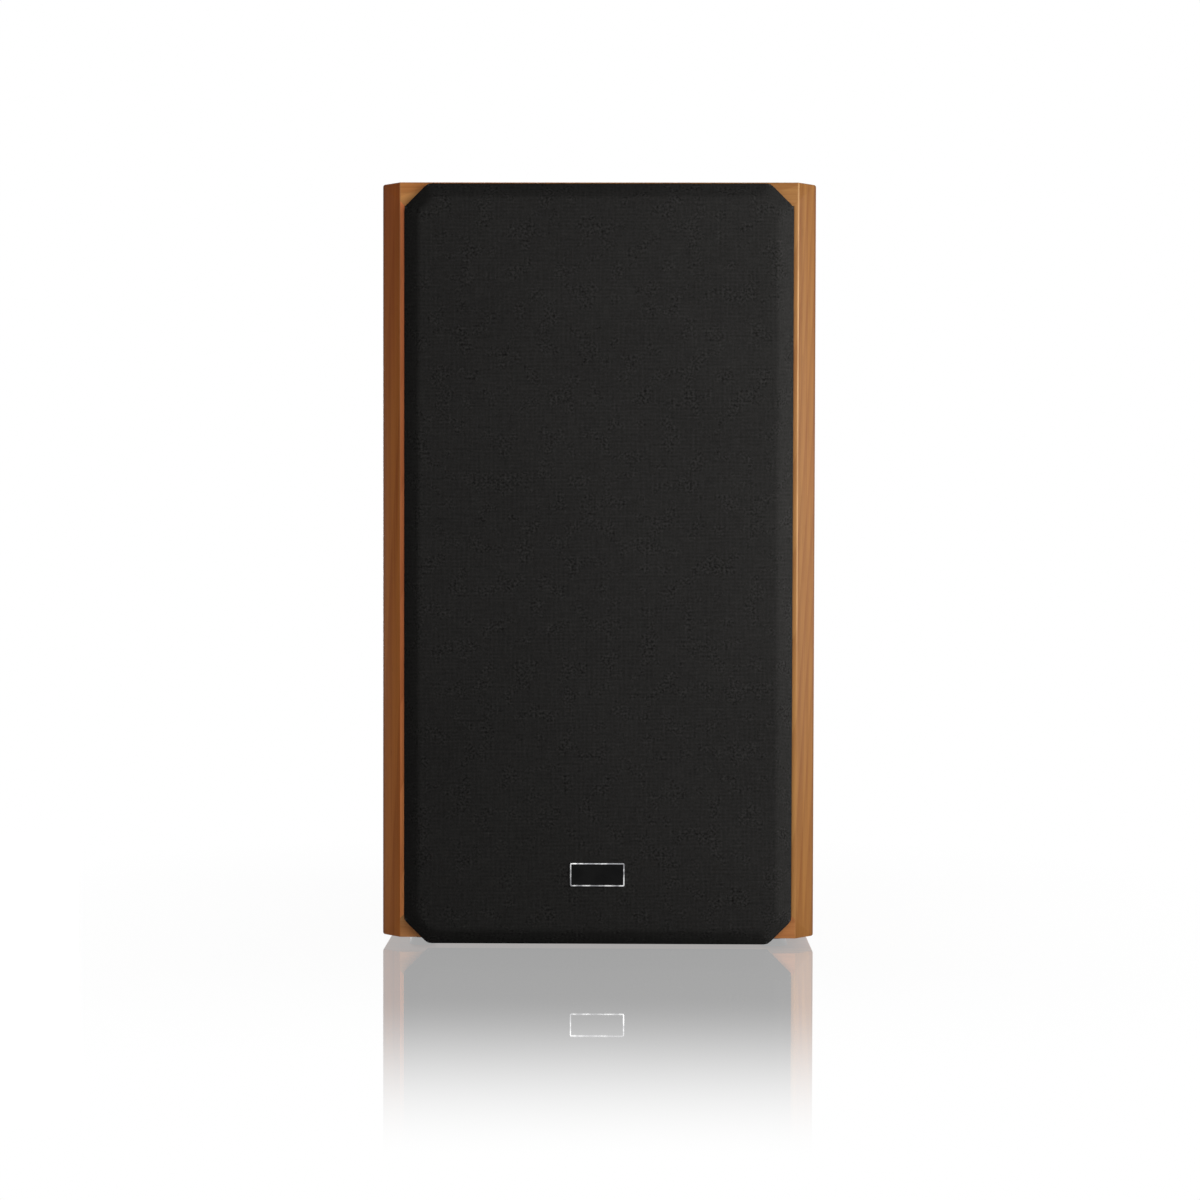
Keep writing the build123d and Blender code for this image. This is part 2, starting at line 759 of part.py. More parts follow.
def spider_shape(d):
    """The corrugated disc that centres the coil: arcs up and down by turns, between two lands."""
    inner_land = d.coil_radius + spider_gap
    first = inner_land + spider_land
    last = d.spider_radius - d.ledge_width - spider_play
    width = (last - first) / (2 * d.spider_waves)
    rise = width * spider_rise

    def profile(height):
        edges = [Line((inner_land, height), (first, height))]
        for i in range(2 * d.spider_waves):
            r = first + i * width
            crest = height + (rise if i % 2 == 0 else -rise)
            edges.append(ThreePointArc((r, height), (r + width / 2, crest), (r + width, height)))
        edges.append(Line((last, height), (d.spider_radius, height)))
        return edges

    low = -d.spider_depth
    high = low + d.spider_thickness
    ends = [
        Line((inner_land, low), (inner_land, high)),
        Line((d.spider_radius, low), (d.spider_radius, high)),
    ]
    return turned(*profile(low), *profile(high), *ends)


def make_chamber():
    """A closed cup behind the midrange, glued to the back of the baffle."""
    depth = midrange.basket_depth + midrange.sheet + midrange.plate_thickness
    depth += midrange.magnet_thickness + midrange.yoke_thickness
    floor_out = -depth - chamber_gap
    back = floor_out - chamber_wall
    rim = -baffle_thickness
    bore = chamber_radius - chamber_wall
    lip = chamber_radius + chamber_flange / 2
    cup = turned_polygon(
        (0, floor_out), (bore, floor_out), (bore, rim), (lip, rim), (lip, rim - chamber_wall),
        (chamber_radius, rim - chamber_wall), (chamber_radius, back), (0, back),
    )
    nodes["midrange_chamber"] = at(front, cup, 0, midrange_up)
    return back


# ================================================================ tweeter
def make_tweeter():
    mouth = tweeter_mouth_radius
    boss = -tweeter_boss_depth
    land_top = boss + tweeter_skin + fit_gap

    def put(piece, shape):
        nodes[f"tweeter_{piece}"] = at(front, shape, 0, tweeter_up)

    top = tweeter_flange_thickness
    rim = tweeter_flange_radius
    pocket = tweeter_land_outer + screw_play
    shoulder = tweeter_cutout_radius - tweeter_boss_gap
    faceplate = turned_polygon(
        (mouth, land_top), (pocket, land_top), (pocket, boss), (shoulder, boss), (shoulder, 0), (rim, 0),
        (rim, top - tweeter_rim_bevel), (rim - tweeter_rim_bevel, top), (tweeter_horn_radius, top),
        (mouth, -tweeter_horn_sink),
    )
    sink = rod(driver_screw_radius * 2 + screw_play, tweeter_screw_sink, top + 1)
    hole = rod(driver_screw_radius + screw_play, -1, top + 1)
    for x, y in circle_of(tweeter_screw_count, tweeter_screw_circle, tweeter_screw_start):
        faceplate -= Pos(x, y, 0) * (sink + hole)
    put("faceplate", faceplate)

    dome_base = boss + tweeter_skin
    put("dome", dome_shell(tweeter_dome_radius, tweeter_dome_height, dome_base, tweeter_dome_thickness))
    roll_inner = tweeter_dome_radius + tweeter_roll_gap
    roll_outer = roll_inner + 2 * tweeter_roll_radius
    inner_land = tweeter_dome_radius - tweeter_inner_land
    skin = half_roll(inner_land, roll_inner, roll_outer, tweeter_land_outer, boss, tweeter_skin)
    put("surround", skin)

    former_outer = tweeter_dome_radius - tweeter_former
    former_inner = former_outer - tweeter_former
    former_low = boss - tweeter_former_depth
    winding_low = boss - (tweeter_plate_thickness + tweeter_coil_height) / 2
    former = ring(former_outer, former_inner, former_low, boss - fit_gap)
    winding = ring(former_outer + tweeter_winding, former_outer, winding_low,
                   winding_low + tweeter_coil_height)
    put("voice_coil", former + winding)

    plate_bore = former_outer + tweeter_winding + tweeter_magnet_gap
    plate_back = boss - tweeter_plate_thickness
    magnet_back = plate_back - tweeter_magnet_thickness
    yoke_back = magnet_back - tweeter_yoke_thickness
    pole = former_inner - tweeter_magnet_gap
    print("tweeter coil clears the yoke by", round(former_low - tweeter_travel - magnet_back, 1))
    put("top_plate", ring(tweeter_plate_radius, plate_bore, plate_back, boss))
    put("magnet", ring(tweeter_magnet_radius, tweeter_magnet_bore, magnet_back, plate_back))
    yoke = rod(tweeter_plate_radius, yoke_back, magnet_back)
    put("yoke", yoke + rod(pole, magnet_back - 1, boss - tweeter_boss_gap))
    return yoke_back


# ================================================================ port
def make_port():
    """A tube with a flared mouth; its flange lies on the outside of the back panel."""
    face = -back_inset + port_flange_thickness
    outer = port_radius + port_wall
    corner = (port_radius + port_flare * (1 - cos(pi / 4)), face - port_flare * (1 - sin(pi / 4)))
    flare = ThreePointArc((port_radius, face - port_flare), corner, (port_radius + port_flare, face))
    outline = Polyline(
        (port_radius + port_flare, face), (port_flange_radius, face), (port_flange_radius, -back_inset),
        (outer, -back_inset), (outer, face - port_length), (port_radius, face - port_length),
        (port_radius, face - port_flare),
    )
    nodes["port_tube"] = at(rear, turned(outline, flare), 0, port_up)


# ================================================================ terminals
def make_terminals():
    seat = -back_inset
    face = seat + terminal_flange_thickness
    bottom = face - recess_depth
    shrink = -recess_taper
    mouth = terminal_outline(0)
    narrow = terminal_outline(shrink)
    hollow = loft([Pos(0, 0, face + 0.01) * mouth, Pos(0, 0, bottom) * narrow])
    shell_top = Pos(0, 0, seat) * terminal_outline(terminal_wall)
    shell_low = Pos(0, 0, bottom - terminal_wall) * terminal_outline(shrink + terminal_wall)
    flange = Pos(0, 0, seat) * extrude(
        RectangleRounded(terminal_flange_width, terminal_flange_height, terminal_corner),
        amount=terminal_flange_thickness,
    )
    cup = flange + loft([shell_top, shell_low]) - hollow
    for x, up in terminal_screw_places():
        cup -= Pos(x, up - terminal_up, 0) * rod(small_screw_radius + screw_play, seat - 1, face + 1)
    posts = [(-post_spacing / 2, "black"), (post_spacing / 2, "red")]
    for x, colour in posts:
        cup -= Pos(x, 0, 0) * rod(post_radius + fit_gap, bottom - terminal_wall - 1, bottom + 1)
    nodes["terminal_cup"] = at(rear, cup, 0, terminal_up)

    collar_top = bottom + post_collar_height
    washer_top = collar_top + washer_thickness
    cap_top = washer_top + cap_length
    stud_top = cap_top - 2 * fit_gap
    stud = rod(post_radius, bottom - terminal_wall - post_tail, stud_top)
    stud += rod(post_collar_radius, bottom, collar_top)
    stud -= rod(socket_radius, stud_top - socket_depth, cap_top + 1)
    cross_hole = Rot(0, 90, 0) * rod(wire_hole_radius, -post_radius - 1, post_radius + 1)
    stud -= Pos(0, 0, washer_top + wire_hole_offset) * cross_hole

    bore = post_radius + post_clearance
    washer = ring(washer_radius, bore, collar_top, washer_top)
    cap = turned_polygon(
        (bore, washer_top), (washer_radius, washer_top), (washer_radius, washer_top + cap_collar),
        (cap_radius, washer_top + cap_collar), (cap_radius, cap_top - cap_bevel),
        (cap_radius - cap_bevel, cap_top),
        (bore, cap_top),
    )
    flute = rod(cap_flute_radius, washer_top + cap_collar - 1, cap_top + 1)
    for x, y in circle_of(cap_flutes, cap_radius + cap_flute_offset):
        cap -= Pos(x, y, 0) * flute
    nut = extrude(RegularPolygon(nut_width / 2, 6, major_radius=False), amount=-nut_height)
    nut -= rod(post_radius + fit_gap / 2, -nut_height - 1, 1)

    nodes["post_studs"] = group(at(rear, stud, x, terminal_up) for x, colour in posts)
    back = bottom - terminal_wall
    nodes["post_nuts"] = group(at(rear, nut, x, terminal_up, back) for x, colour in posts)
    for x, colour in posts:
        nodes[f"post_washer_{colour}"] = at(rear, washer, x, terminal_up)
        nodes[f"post_cap_{colour}"] = at(rear, cap, x, terminal_up)
    return back - post_tail


# ================================================================ crossover
def make_crossover():
    """A hardboard panel on the cabinet's floor with coils, capacitors and resistors on it."""
    deck = panel_thickness + board_thickness
    board = Pos(0, board_front + board_length / 2, panel_thickness) * Box(
        board_width, board_length, board_thickness, align=(Align.CENTER, Align.CENTER, Align.MIN))
    for x, depth in board_screw_places():
        board -= Pos(x, depth, 0) * rod(small_screw_radius + fit_gap, panel_thickness - 1, deck + 1)
    nodes["crossover_board"] = floor.location * board

    coils = []
    for radius, height, x, along in coil_sizes:
        wound = ring(radius, coil_bore, coil_flange, height - coil_flange)
        cheeks = ring(radius + coil_cheek, coil_bore, 0, coil_flange)
        spool = wound + cheeks + Pos(0, 0, height - coil_flange) * cheeks
        coils.append(at(floor, spool, x, board_front + along, deck))
    nodes["crossover_coils"] = group(coils)

    cans = []
    for radius, length, x, along in capacitor_sizes:
        can = Pos(0, -length / 2, radius) * Rot(-90, 0, 0) * rod(radius, 0, length)
        cans.append(at(floor, can, x, board_front + along, deck))
    nodes["crossover_capacitors"] = group(cans)

    length, width, height = resistor_size
    brick = Box(length, width, height, align=(Align.CENTER, Align.CENTER, Align.MIN))
    brick = chamfer(brick.edges().filter_by(Axis.X), resistor_edge)
    nodes["crossover_resistors"] = group(
        at(floor, brick, x, board_front + along, deck) for x, along in resistor_places)
    return deck


def make_screws():
    """Driver screws on the baffle, and one small size for the cup, the board and the feet."""
    driver_screw = pan_screw(driver_screw_radius, driver_screw_length, screw_head_height)
    nodes["driver_screws"] = group(
        at(front, driver_screw, x, up, seat) for x, up, seat in driver_screw_places())
    small = pan_screw(small_screw_radius, small_screw_length, screw_head_height)
    cup_face = -back_inset + terminal_flange_thickness
    screws = [at(rear, small, x, up, cup_face) for x, up in terminal_screw_places()]
    deck = panel_thickness + board_thickness
    screws += [at(floor, small, x, depth, deck) for x, depth in board_screw_places()]
    foot_seat = -(screw_head_height + foot_screw_sink)
    foot_screw = Rot(180, 0, 0) * small
    screws += [at(floor, foot_screw, x, depth, foot_seat) for x, depth in foot_places()]
    nodes["small_screws"] = group(screws)


# ================================================================ wiring
def cable(points):
    """A round cable: straight runs joined by arcs as large as the runs allow."""
    vectors = [Vector(*p) for p in points]
    radii = []
    for before, here, after in zip(vectors, vectors[1:], vectors[2:]):
        turn = (here - before).get_angle(after - here)
        shorter = min((here - before).length, (after - here).length)
        radii.append(0.45 * shorter / tan(radians(turn) / 2))
    print("cable arc radii", [round(r, 1) for r in radii])
    path = FilletPolyline(*points, radius=radii)
    start = Plane(origin=path @ 0, z_dir=path % 0)
    tube = sweep(start * Circle(cable_radius), path=path)
    plain = pi * cable_radius**2 * path.length
    print("cable volume", round(tube.volume), "section x length", round(plain))
    print("cable length", round(path.length))
    return front.location * tube


def tab_strip():
    """A tag strip with two solder tabs; it lies on z = 0 and looks outward."""
    width, height, thickness = tab_board
    strip = Pos(0, 0, thickness / 2) * Box(width, height, thickness)
    tab_w, tab_l, tab_t = tab_size
    for side in (-1, 1):
        tab = Box(tab_w, tab_t, tab_l, align=(Align.CENTER, Align.CENTER, Align.MIN))
        strip += Pos(side * width / 4, 0, thickness - glue_gap) * tab
    return strip


def make_wiring(chamber_back, tweeter_back, stud_end, deck):
    """Tag strips on the drivers, and the cables from the board to each of them and to the posts."""
    strip = tab_strip()
    thickness = tab_board[2]
    basket_side = woofer.spider_radius - woofer.ledge_width + woofer.sheet
    basket_mid = -(woofer.spider_depth + woofer.basket_depth) / 2 - woofer.sheet / 2
    sideways = Rot(0, -90, 0) * Rot(0, 0, 90)
    backwards = Rot(180, 0, 0)
    nodes["driver_terminals"] = group([
        front.location * Pos(-basket_side, woofer_up, basket_mid) * sideways * strip,
        front.location * Pos(0, midrange_up, chamber_back) * backwards * strip,
        front.location * Pos(0, tweeter_up, tweeter_back) * backwards * strip,
    ])

    woofer_strip = -basket_side - thickness
    woofer_cable = [
        (-26.0, deck, -196.0), (-26.0, deck + 28, -196.0), (-50.0, 92.0, -172.0),
        (-86.0, 132.0, -134.0), (-112.0, 180.0, -88.0), (woofer_strip - 31, woofer_up, basket_mid),
        (woofer_strip, woofer_up, basket_mid),
    ]
    midrange_strip = chamber_back - thickness
    midrange_cable = [
        (-4.0, deck, -188.0), (-4.0, deck + 34, -188.0), (6.0, 110.0, -172.0), (10.0, 165.0, -158.0),
        (6.0, 222.0, -142.0), (-2.0, 280.0, -138.0), (2.0, 334.0, -124.0),
        (1.0, midrange_up - 18, -110.0), (0.0, midrange_up, midrange_strip - 20),
        (0.0, midrange_up, midrange_strip),
    ]
    tweeter_strip = tweeter_back - thickness
    tweeter_cable = [
        (24.0, deck, -190.0), (24.0, deck + 34, -190.0), (40.0, 110.0, -176.0), (52.0, 166.0, -160.0),
        (60.0, 224.0, -156.0), (66.0, 282.0, -146.0), (74.0, 338.0, -136.0), (84.0, 392.0, -112.0),
        (74.0, 442.0, -88.0), (46.0, 484.0, -72.0), (12.0, tweeter_up - 12, -60.0),
        (0.0, tweeter_up, tweeter_strip - 20), (0.0, tweeter_up, tweeter_strip),
    ]
    stud_out = -cabinet_depth - stud_end
    routes = [woofer_cable, midrange_cable, tweeter_cable]
    for side in (-1, 1):
        x = side * post_spacing / 2
        routes.append([
            (x, terminal_up, stud_out), (x, terminal_up, stud_out + 20),
            (x, terminal_up - 9, stud_out + 36), (x + side, terminal_up - 36, stud_out + 44),
            (x + side, terminal_up - 74, stud_out + 42), (x, deck + 24, stud_out + 41),
            (x, deck, stud_out + 41),
        ])
    nodes["internal_cables"] = group(cable(points) for points in routes)


# ================================================================ build and write
make_cabinet()
make_baffle()
make_cleats_and_brace()
make_back_panel()
make_feet()
make_wadding()
make_grille()
woofer_gasket = make_cone_driver("woofer", woofer, woofer_up)
midrange_gasket = make_cone_driver("midrange", midrange, midrange_up)
nodes["driver_gaskets"] = group([woofer_gasket, midrange_gasket])
chamber_back = make_chamber()
tweeter_back = make_tweeter()
make_port()
stud_end = make_terminals()
deck = make_crossover()
make_screws()
make_wiring(chamber_back, tweeter_back, stud_end, deck)

os.makedirs("parts", exist_ok=True)
for node, shape in nodes.items():
    export_step(shape, f"parts/{node}.step")
print(len(nodes), "nodes")
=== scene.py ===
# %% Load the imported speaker
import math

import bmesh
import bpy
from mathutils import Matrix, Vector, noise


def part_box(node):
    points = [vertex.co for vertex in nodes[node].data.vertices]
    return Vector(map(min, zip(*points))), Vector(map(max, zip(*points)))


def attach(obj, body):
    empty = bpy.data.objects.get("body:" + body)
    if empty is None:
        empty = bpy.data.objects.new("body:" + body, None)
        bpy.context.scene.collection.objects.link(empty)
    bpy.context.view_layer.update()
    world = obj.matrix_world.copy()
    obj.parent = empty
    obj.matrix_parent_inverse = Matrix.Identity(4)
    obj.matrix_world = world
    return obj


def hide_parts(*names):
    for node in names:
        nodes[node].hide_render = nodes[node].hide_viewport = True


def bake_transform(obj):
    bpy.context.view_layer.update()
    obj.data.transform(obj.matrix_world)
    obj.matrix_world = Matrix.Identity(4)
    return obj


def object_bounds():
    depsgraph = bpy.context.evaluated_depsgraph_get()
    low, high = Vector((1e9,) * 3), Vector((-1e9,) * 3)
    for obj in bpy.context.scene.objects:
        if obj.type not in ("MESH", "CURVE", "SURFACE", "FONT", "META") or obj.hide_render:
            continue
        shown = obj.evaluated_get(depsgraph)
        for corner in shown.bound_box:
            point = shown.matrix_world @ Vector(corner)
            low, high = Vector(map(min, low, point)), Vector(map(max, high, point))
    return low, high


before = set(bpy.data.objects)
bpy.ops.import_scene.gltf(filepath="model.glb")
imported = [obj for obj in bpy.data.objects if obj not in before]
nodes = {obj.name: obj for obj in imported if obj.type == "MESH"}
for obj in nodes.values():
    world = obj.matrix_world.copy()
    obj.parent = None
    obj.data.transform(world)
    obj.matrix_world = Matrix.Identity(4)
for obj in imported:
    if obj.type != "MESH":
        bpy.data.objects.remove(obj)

# %% [markdown]
# # A loudspeaker that stands on the floor
#
# This lesson gives a speaker its looks. The construction is already there: 60 named pieces, each in
# its place, in metres, with the front facing -Y and +Z up. What is left for Blender is what the eye
# judges: lacquered veneer, stretched cloth, paper, rubber and metal. Some pieces only need a better
# finish. Others are made again, because their looks depend on small shapes that a construction model
# leaves out, such as eased edges and soft folds.

cad_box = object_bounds()
mm = 0.001
print(len(nodes), "pieces, box in metres:", [[round(value, 4) for value in corner] for corner in cad_box])

# %% [markdown]
# ## The camera
#
# The photograph looks almost straight at the front, from about two metres. A camera that is turned
# by hand rarely lands on such a view, so its place, its three small angles and its lens were worked
# out from the cabinet's edges. The turns are read from the last one up: the camera is rolled about
# its line of sight, raised to look along +Y and tipped, then turned, and last set in its place.

# %% Camera
camera_place = Vector((0.0247, -2.1147, 0.3292))
camera_turn = math.radians(0.673)
camera_tip = math.radians(-1.425)
camera_roll = math.radians(0.13)
camera_lens = 73.62


def add_object(name, data):
    """An object with this data, put in the scene."""
    added = bpy.data.objects.new(name, data)
    bpy.context.scene.collection.objects.link(added)
    return added


lens = bpy.data.cameras.new("camera")
lens.lens = camera_lens
lens.sensor_width = 36.0
camera = add_object("camera", lens)
camera.matrix_world = (
    Matrix.Translation(camera_place)
    @ Matrix.Rotation(camera_turn, 4, "Z")
    @ Matrix.Rotation(math.pi / 2 + camera_tip, 4, "X")
    @ Matrix.Rotation(camera_roll, 4, "Z")
)
bpy.context.scene.camera = camera
bpy.context.scene.view_settings.view_transform = "Standard"
print("camera at", [round(value, 3) for value in camera.location], "lens", lens.lens)

# %% [markdown]
# ## Numbers in a shader
#
# A material is a graph of small nodes. Written one node at a time, a sum such as a + b * c takes a
# dozen lines. So one small class wraps a socket, and Python's own signs add the Math nodes.

# %% A number that Python can calculate with
class Number:
    """A socket that carries one number; + - * / and ** on it add Math nodes."""

    def __init__(self, graph, socket):
        self.graph = graph
        self.socket = socket

    def math(self, operation, *others):
        sockets = dict(enumerate((self, *others)))
        return self.graph.number("ShaderNodeMath", {"operation": operation}, sockets)

    def __add__(self, other):
        return self.math("ADD", other)

    def __sub__(self, other):
        return self.math("SUBTRACT", other)

    def __rsub__(self, other):
        return (self * -1.0) + other

    def __mul__(self, other):
        return self.math("MULTIPLY", other)

    def __truediv__(self, other):
        return self.math("DIVIDE", other)

    def __pow__(self, other):
        return self.math("POWER", other)

    __radd__ = __add__
    __rmul__ = __mul__

    def between(self, low, high):
        """0 below low, 1 above high and a soft step from one to the other."""
        settings = {"interpolation_type": "SMOOTHSTEP"}
        sockets = {"Value": self, "From Min": low, "From Max": high}
        return self.graph.number("ShaderNodeMapRange", settings, sockets, "Result")


# %% [markdown]
# ## A finish
#
# Every material here starts as Blender's Principled shader. What is the same all over the surface is
# set on the shader's own sockets. What changes over it is linked, and only to colour, roughness and
# the surface normal, because those survive when a model is exported. Patterns are placed by Object
# coordinates, in metres, so a grain that is 2 mm wide on the real thing is 2 mm wide here.

# %% The classes that build a finish
class Graph:
    """The nodes of a material or of the world, with short ways to add more."""

    def __init__(self, tree):
        self.tree = tree

    def add(self, kind, settings=None, sockets=None):
        """Adds any node: its settings first, then the values or links of its sockets."""
        node = self.tree.nodes.new(kind)
        for name, value in (settings or {}).items():
            setattr(node, name, value)
        for key, value in (sockets or {}).items():
            self.feed(node.inputs[key], value)
        return node

    def feed(self, socket, value):
        if isinstance(value, Number):
            value = value.socket
        if isinstance(value, bpy.types.NodeSocket):
            self.tree.links.new(value, socket)
        else:
            socket.default_value = value

    def number(self, kind, settings=None, sockets=None, output=0):
        return Number(self, self.add(kind, settings, sockets).outputs[output])


class Finish(Graph):
    """One material, with the patterns that this lesson uses."""

    def __init__(self, name, **constants):
        self.material = bpy.data.materials.new(name)
        self.material.use_nodes = True
        super().__init__(self.material.node_tree)
        self.shader = self.tree.nodes["Principled BSDF"]
        for words, value in constants.items():
            self.shader.inputs[words.replace("_", " ").title().replace("Ior", "IOR")].default_value = value
        self.place = self.add("ShaderNodeTexCoord").outputs["Object"]

    def set(self, socket, value):
        self.feed(self.shader.inputs[socket], value)

    def stretched(self, scale, turn=(0.0, 0.0, 0.0), shift=(0.0, 0.0, 0.0), place=None):
        """Coordinates moved, turned and scaled, for a pattern with a direction of its own."""
        sockets = {"Vector": place or self.place, "Location": shift, "Rotation": turn, "Scale": scale}
        return self.add("ShaderNodeMapping", {"vector_type": "POINT"}, sockets).outputs[0]

    def split(self, place):
        """The three parts of a place, as Numbers."""
        return [Number(self, part) for part in self.add("ShaderNodeSeparateXYZ", None, {0: place}).outputs]

    def noise(self, place, scale, detail=3.0, roughness=0.5):
        sockets = {"Vector": place, "Scale": scale, "Detail": detail, "Roughness": roughness}
        return self.number("ShaderNodeTexNoise", None, sockets, "Fac")

    def drawn(self, scale, detail=3.0, roughness=0.5, **placing):
        """Noise that is drawn out in a direction, by a scale of its own for each axis."""
        return self.noise(self.stretched(scale, **placing), 1.0, detail, roughness)

    def fibres(self, scale, turns, detail):
        """Hairs lying in several directions; the highest one shows."""
        highest, *others = [self.drawn(scale, detail, turn=turn) for turn in turns]
        for layer in others:
            highest = highest.math("MAXIMUM", layer)
        return highest

    def mix(self, factor, first, second, blend="MIX"):
        """Mixes two colours, each a triple of linear values or a socket."""
        settings = {"data_type": "RGBA", "blend_type": blend}
        colours = [(*c, 1.0) if isinstance(c, tuple) else c for c in (first, second)]
        sockets = {"Factor": factor, 6: colours[0], 7: colours[1]}
        return self.add("ShaderNodeMix", settings, sockets).outputs[2]

    def surface(self, colour, roughness, height, relief, strength):
        """Links colour and roughness, and tilts the normal as a relief of this depth in metres would."""
        self.set("Base Color", colour)
        self.set("Roughness", roughness)
        sockets = {"Height": height, "Distance": relief, "Strength": strength}
        self.set("Normal", self.add("ShaderNodeBump", None, sockets).outputs[0])
        return self.material


def srgb(red, green, blue):
    """A colour as a paint program gives it, 0 to 255, turned into linear values."""
    def linear(value):
        value /= 255
        return value / 12.92 if value <= 0.04045 else ((value + 0.055) / 1.055) ** 2.4
    return tuple(linear(value) for value in (red, green, blue))


# %% [markdown]
# ## The background
#
# The photograph is a cut-out on white, over a polished white floor that shows the speaker again and
# fades towards the viewer. Pouring light on the set until it turns white would bleach the wood as
# well. So the white is only what the camera and the reflections see: the world has one strength for
# them and another, much lower, for the light that it sheds.

# %% World
world_glow = 0.06
pure_white = (1.0, 1.0, 1.0, 1.0)


def seen_directly(graph):
    """1 for a ray from the camera or off something shiny or clear, 0 for rays that carry light."""
    rays = graph.add("ShaderNodeLightPath").outputs
    camera_ray, glossy_ray, clear_ray = (
        Number(graph, rays[f"Is {kind} Ray"]) for kind in ("Camera", "Glossy", "Transmission"))
    return camera_ray.math("MAXIMUM", glossy_ray).math("MAXIMUM", clear_ray)


world = bpy.data.worlds.new("studio")
world.use_nodes = True
bpy.context.scene.world = world
sky = Graph(world.node_tree)
background = sky.tree.nodes["Background"].inputs
sky.feed(background["Color"], pure_white)
sky.feed(background["Strength"], seen_directly(sky) * (1 - world_glow) + world_glow)
print("the world sheds", world_glow, "and looks like 1.0")

# %% [markdown]
# ## The floor
#
# The floor is one large plane. Close to the speaker it is a pale surface that takes a shadow and
# mirrors what stands on it. The mirror image weakens with the distance from the speaker's foot, and
# a little further out the floor turns into the same white as the background, so no horizon shows.
# Like the world, it is only so white for what looks at it: the light that it sends back on the
# speaker is that of a pale painted floor.

# %% Floor
floor_half = 8.0
mirror_share = 0.61
mirror_start = 0.19
mirror_end = 0.665
white_near = 0.9
white_end = 0.45


def pale_floor():
    """White paint near the speaker, with a mirror image that fades, and pure white further out."""
    paint = Finish("pale_floor", base_color=(0.6, 0.6, 0.6, 1.0), roughness=0.6,
                   specular_ior_level=0.0)
    x, y, _ = paint.split(paint.place)
    across = (x.math("ABSOLUTE") - cad_box[1][0]).math("MAXIMUM", 0.0)
    along = (y.math("ABSOLUTE") - cad_box[1][1]).math("MAXIMUM", 0.0)
    away = (across**2 + along**2) ** 0.5
    white = paint.add("ShaderNodeEmission", None, {"Color": pure_white, "Strength": 1.0})
    share = (away.between(0.0, white_end) * (1 - white_near) + white_near) * seen_directly(paint)
    lifted = paint.add("ShaderNodeMixShader", None,
                       {0: share, 1: paint.shader.outputs[0], 2: white.outputs[0]})
    mirror = paint.add("ShaderNodeBsdfGlossy", None, {"Color": pure_white, "Roughness": 0.02})
    camera_ray = Number(paint, paint.add("ShaderNodeLightPath").outputs["Is Camera Ray"])
    fade = (1 - away.between(mirror_start, mirror_end)) * mirror_share * camera_ray
    polished = paint.add("ShaderNodeMixShader", None,
                         {0: fade, 1: lifted.outputs[0], 2: mirror.outputs[0]})
    paint.feed(paint.tree.nodes["Material Output"].inputs["Surface"], polished.outputs[0])
    return paint.material


def object_from(bm, name, material):
    """Turns a bmesh, Blender's editable mesh, into an object with one material."""
    mesh = bpy.data.meshes.new(name)
    bm.to_mesh(mesh)
    bm.free()
    mesh.materials.append(material)
    return add_object(name, mesh)


wide_square = bmesh.new()
bmesh.ops.create_grid(wide_square, x_segments=1, y_segments=1, size=floor_half)
plane = object_from(wide_square, "floor", pale_floor())
print("floor", 2 * floor_half, "m wide")

# %% [markdown]
# ## The lamps
#
# In the photograph the right of the front is a little brighter than the left, and the left chamfer,
# which faces away, has a third of the right one's light. Two soft boxes explain it: one beside the
# camera, and one at 35 degrees to the right. A third, far round to the right, only skims the cloth
# and shines back from the bevel on that side. The rest light what the photograph doesn't show: the
# sides, the back and the top. The ones round the sides stand no higher than the cabinet, because
# the lacquer on its top would mirror a higher one as a white patch.

# %% Lamps
aim = Vector((0.0, cad_box[0][1], 0.34))


def soft_light(name, place, width, height, power, target=aim):
    """A rectangular lamp that faces its target."""
    light = bpy.data.lights.new(name, "AREA")
    light.shape = "RECTANGLE"
    light.size = width
    light.size_y = height
    light.energy = power
    lamp = add_object(name, light)
    lamp.location = place
    lamp.rotation_euler = (target - Vector(place)).to_track_quat("-Z", "Y").to_euler()
    lamp.visible_camera = False


middle = Vector((0.0, 0.0, 0.34))
soft_light("beside_camera", (-0.1, -1.5, 0.6), 0.8, 0.8, 4.9)
soft_light("front_right", (0.75, -1.15, 0.6), 0.9, 0.9, 10.4)
soft_light("skimming", (1.15, -0.16, 0.40), 0.3, 0.8, 8.0)
soft_light("right_side", (1.6, 0.9, 0.34), 1.0, 0.5, 5.0, middle)
soft_light("left_side", (-1.3, 1.4, 0.34), 1.2, 0.5, 15.0, middle)
soft_light("back_side", (0.0, 2.0, 0.34), 0.34, 0.5, 14.0, middle)
soft_light("over_head", (0.0, 1.1, 1.8), 1.2, 1.0, 16.0, middle)

# %% [markdown]
# ## Making a piece
#
# Each new piece is built in a bmesh and then becomes an object. It rides on one of the speaker's bodies
# and hides the plain construction piece that it stands for.
#
# Round pieces are easiest on a lathe: their outline is drawn once, as distances from the axis and
# along it, and spun. Everything on the front is drawn as if it lay on a table and is tilted upright
# at the end, so that up on the table becomes towards the listener.

# %% From a bmesh to a finished piece
foot_height = 6.0 * mm
cabinet_low, cabinet_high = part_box("side_panel_left")[0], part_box("side_panel_right")[1]
half_width = cabinet_high.x
front_face = cabinet_low.y
front = Matrix.Translation((0.0, front_face, foot_height)) @ Matrix.Rotation(math.pi / 2, 4, "X")
same_place = 1e-6         # metres; points that are closer are one


def make_piece(name, bm, body, material, replaced=(), angle=35.0):
    """A new piece that shades smoothly except over edges sharper than the angle."""
    piece = object_from(bm, name, material)
    piece.data.shade_smooth()
    piece.data.set_sharp_from_angle(angle=math.radians(angle))
    if body:
        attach(piece, body)
    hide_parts(*replaced)
    print(name, len(piece.data.polygons), "faces")
    return piece


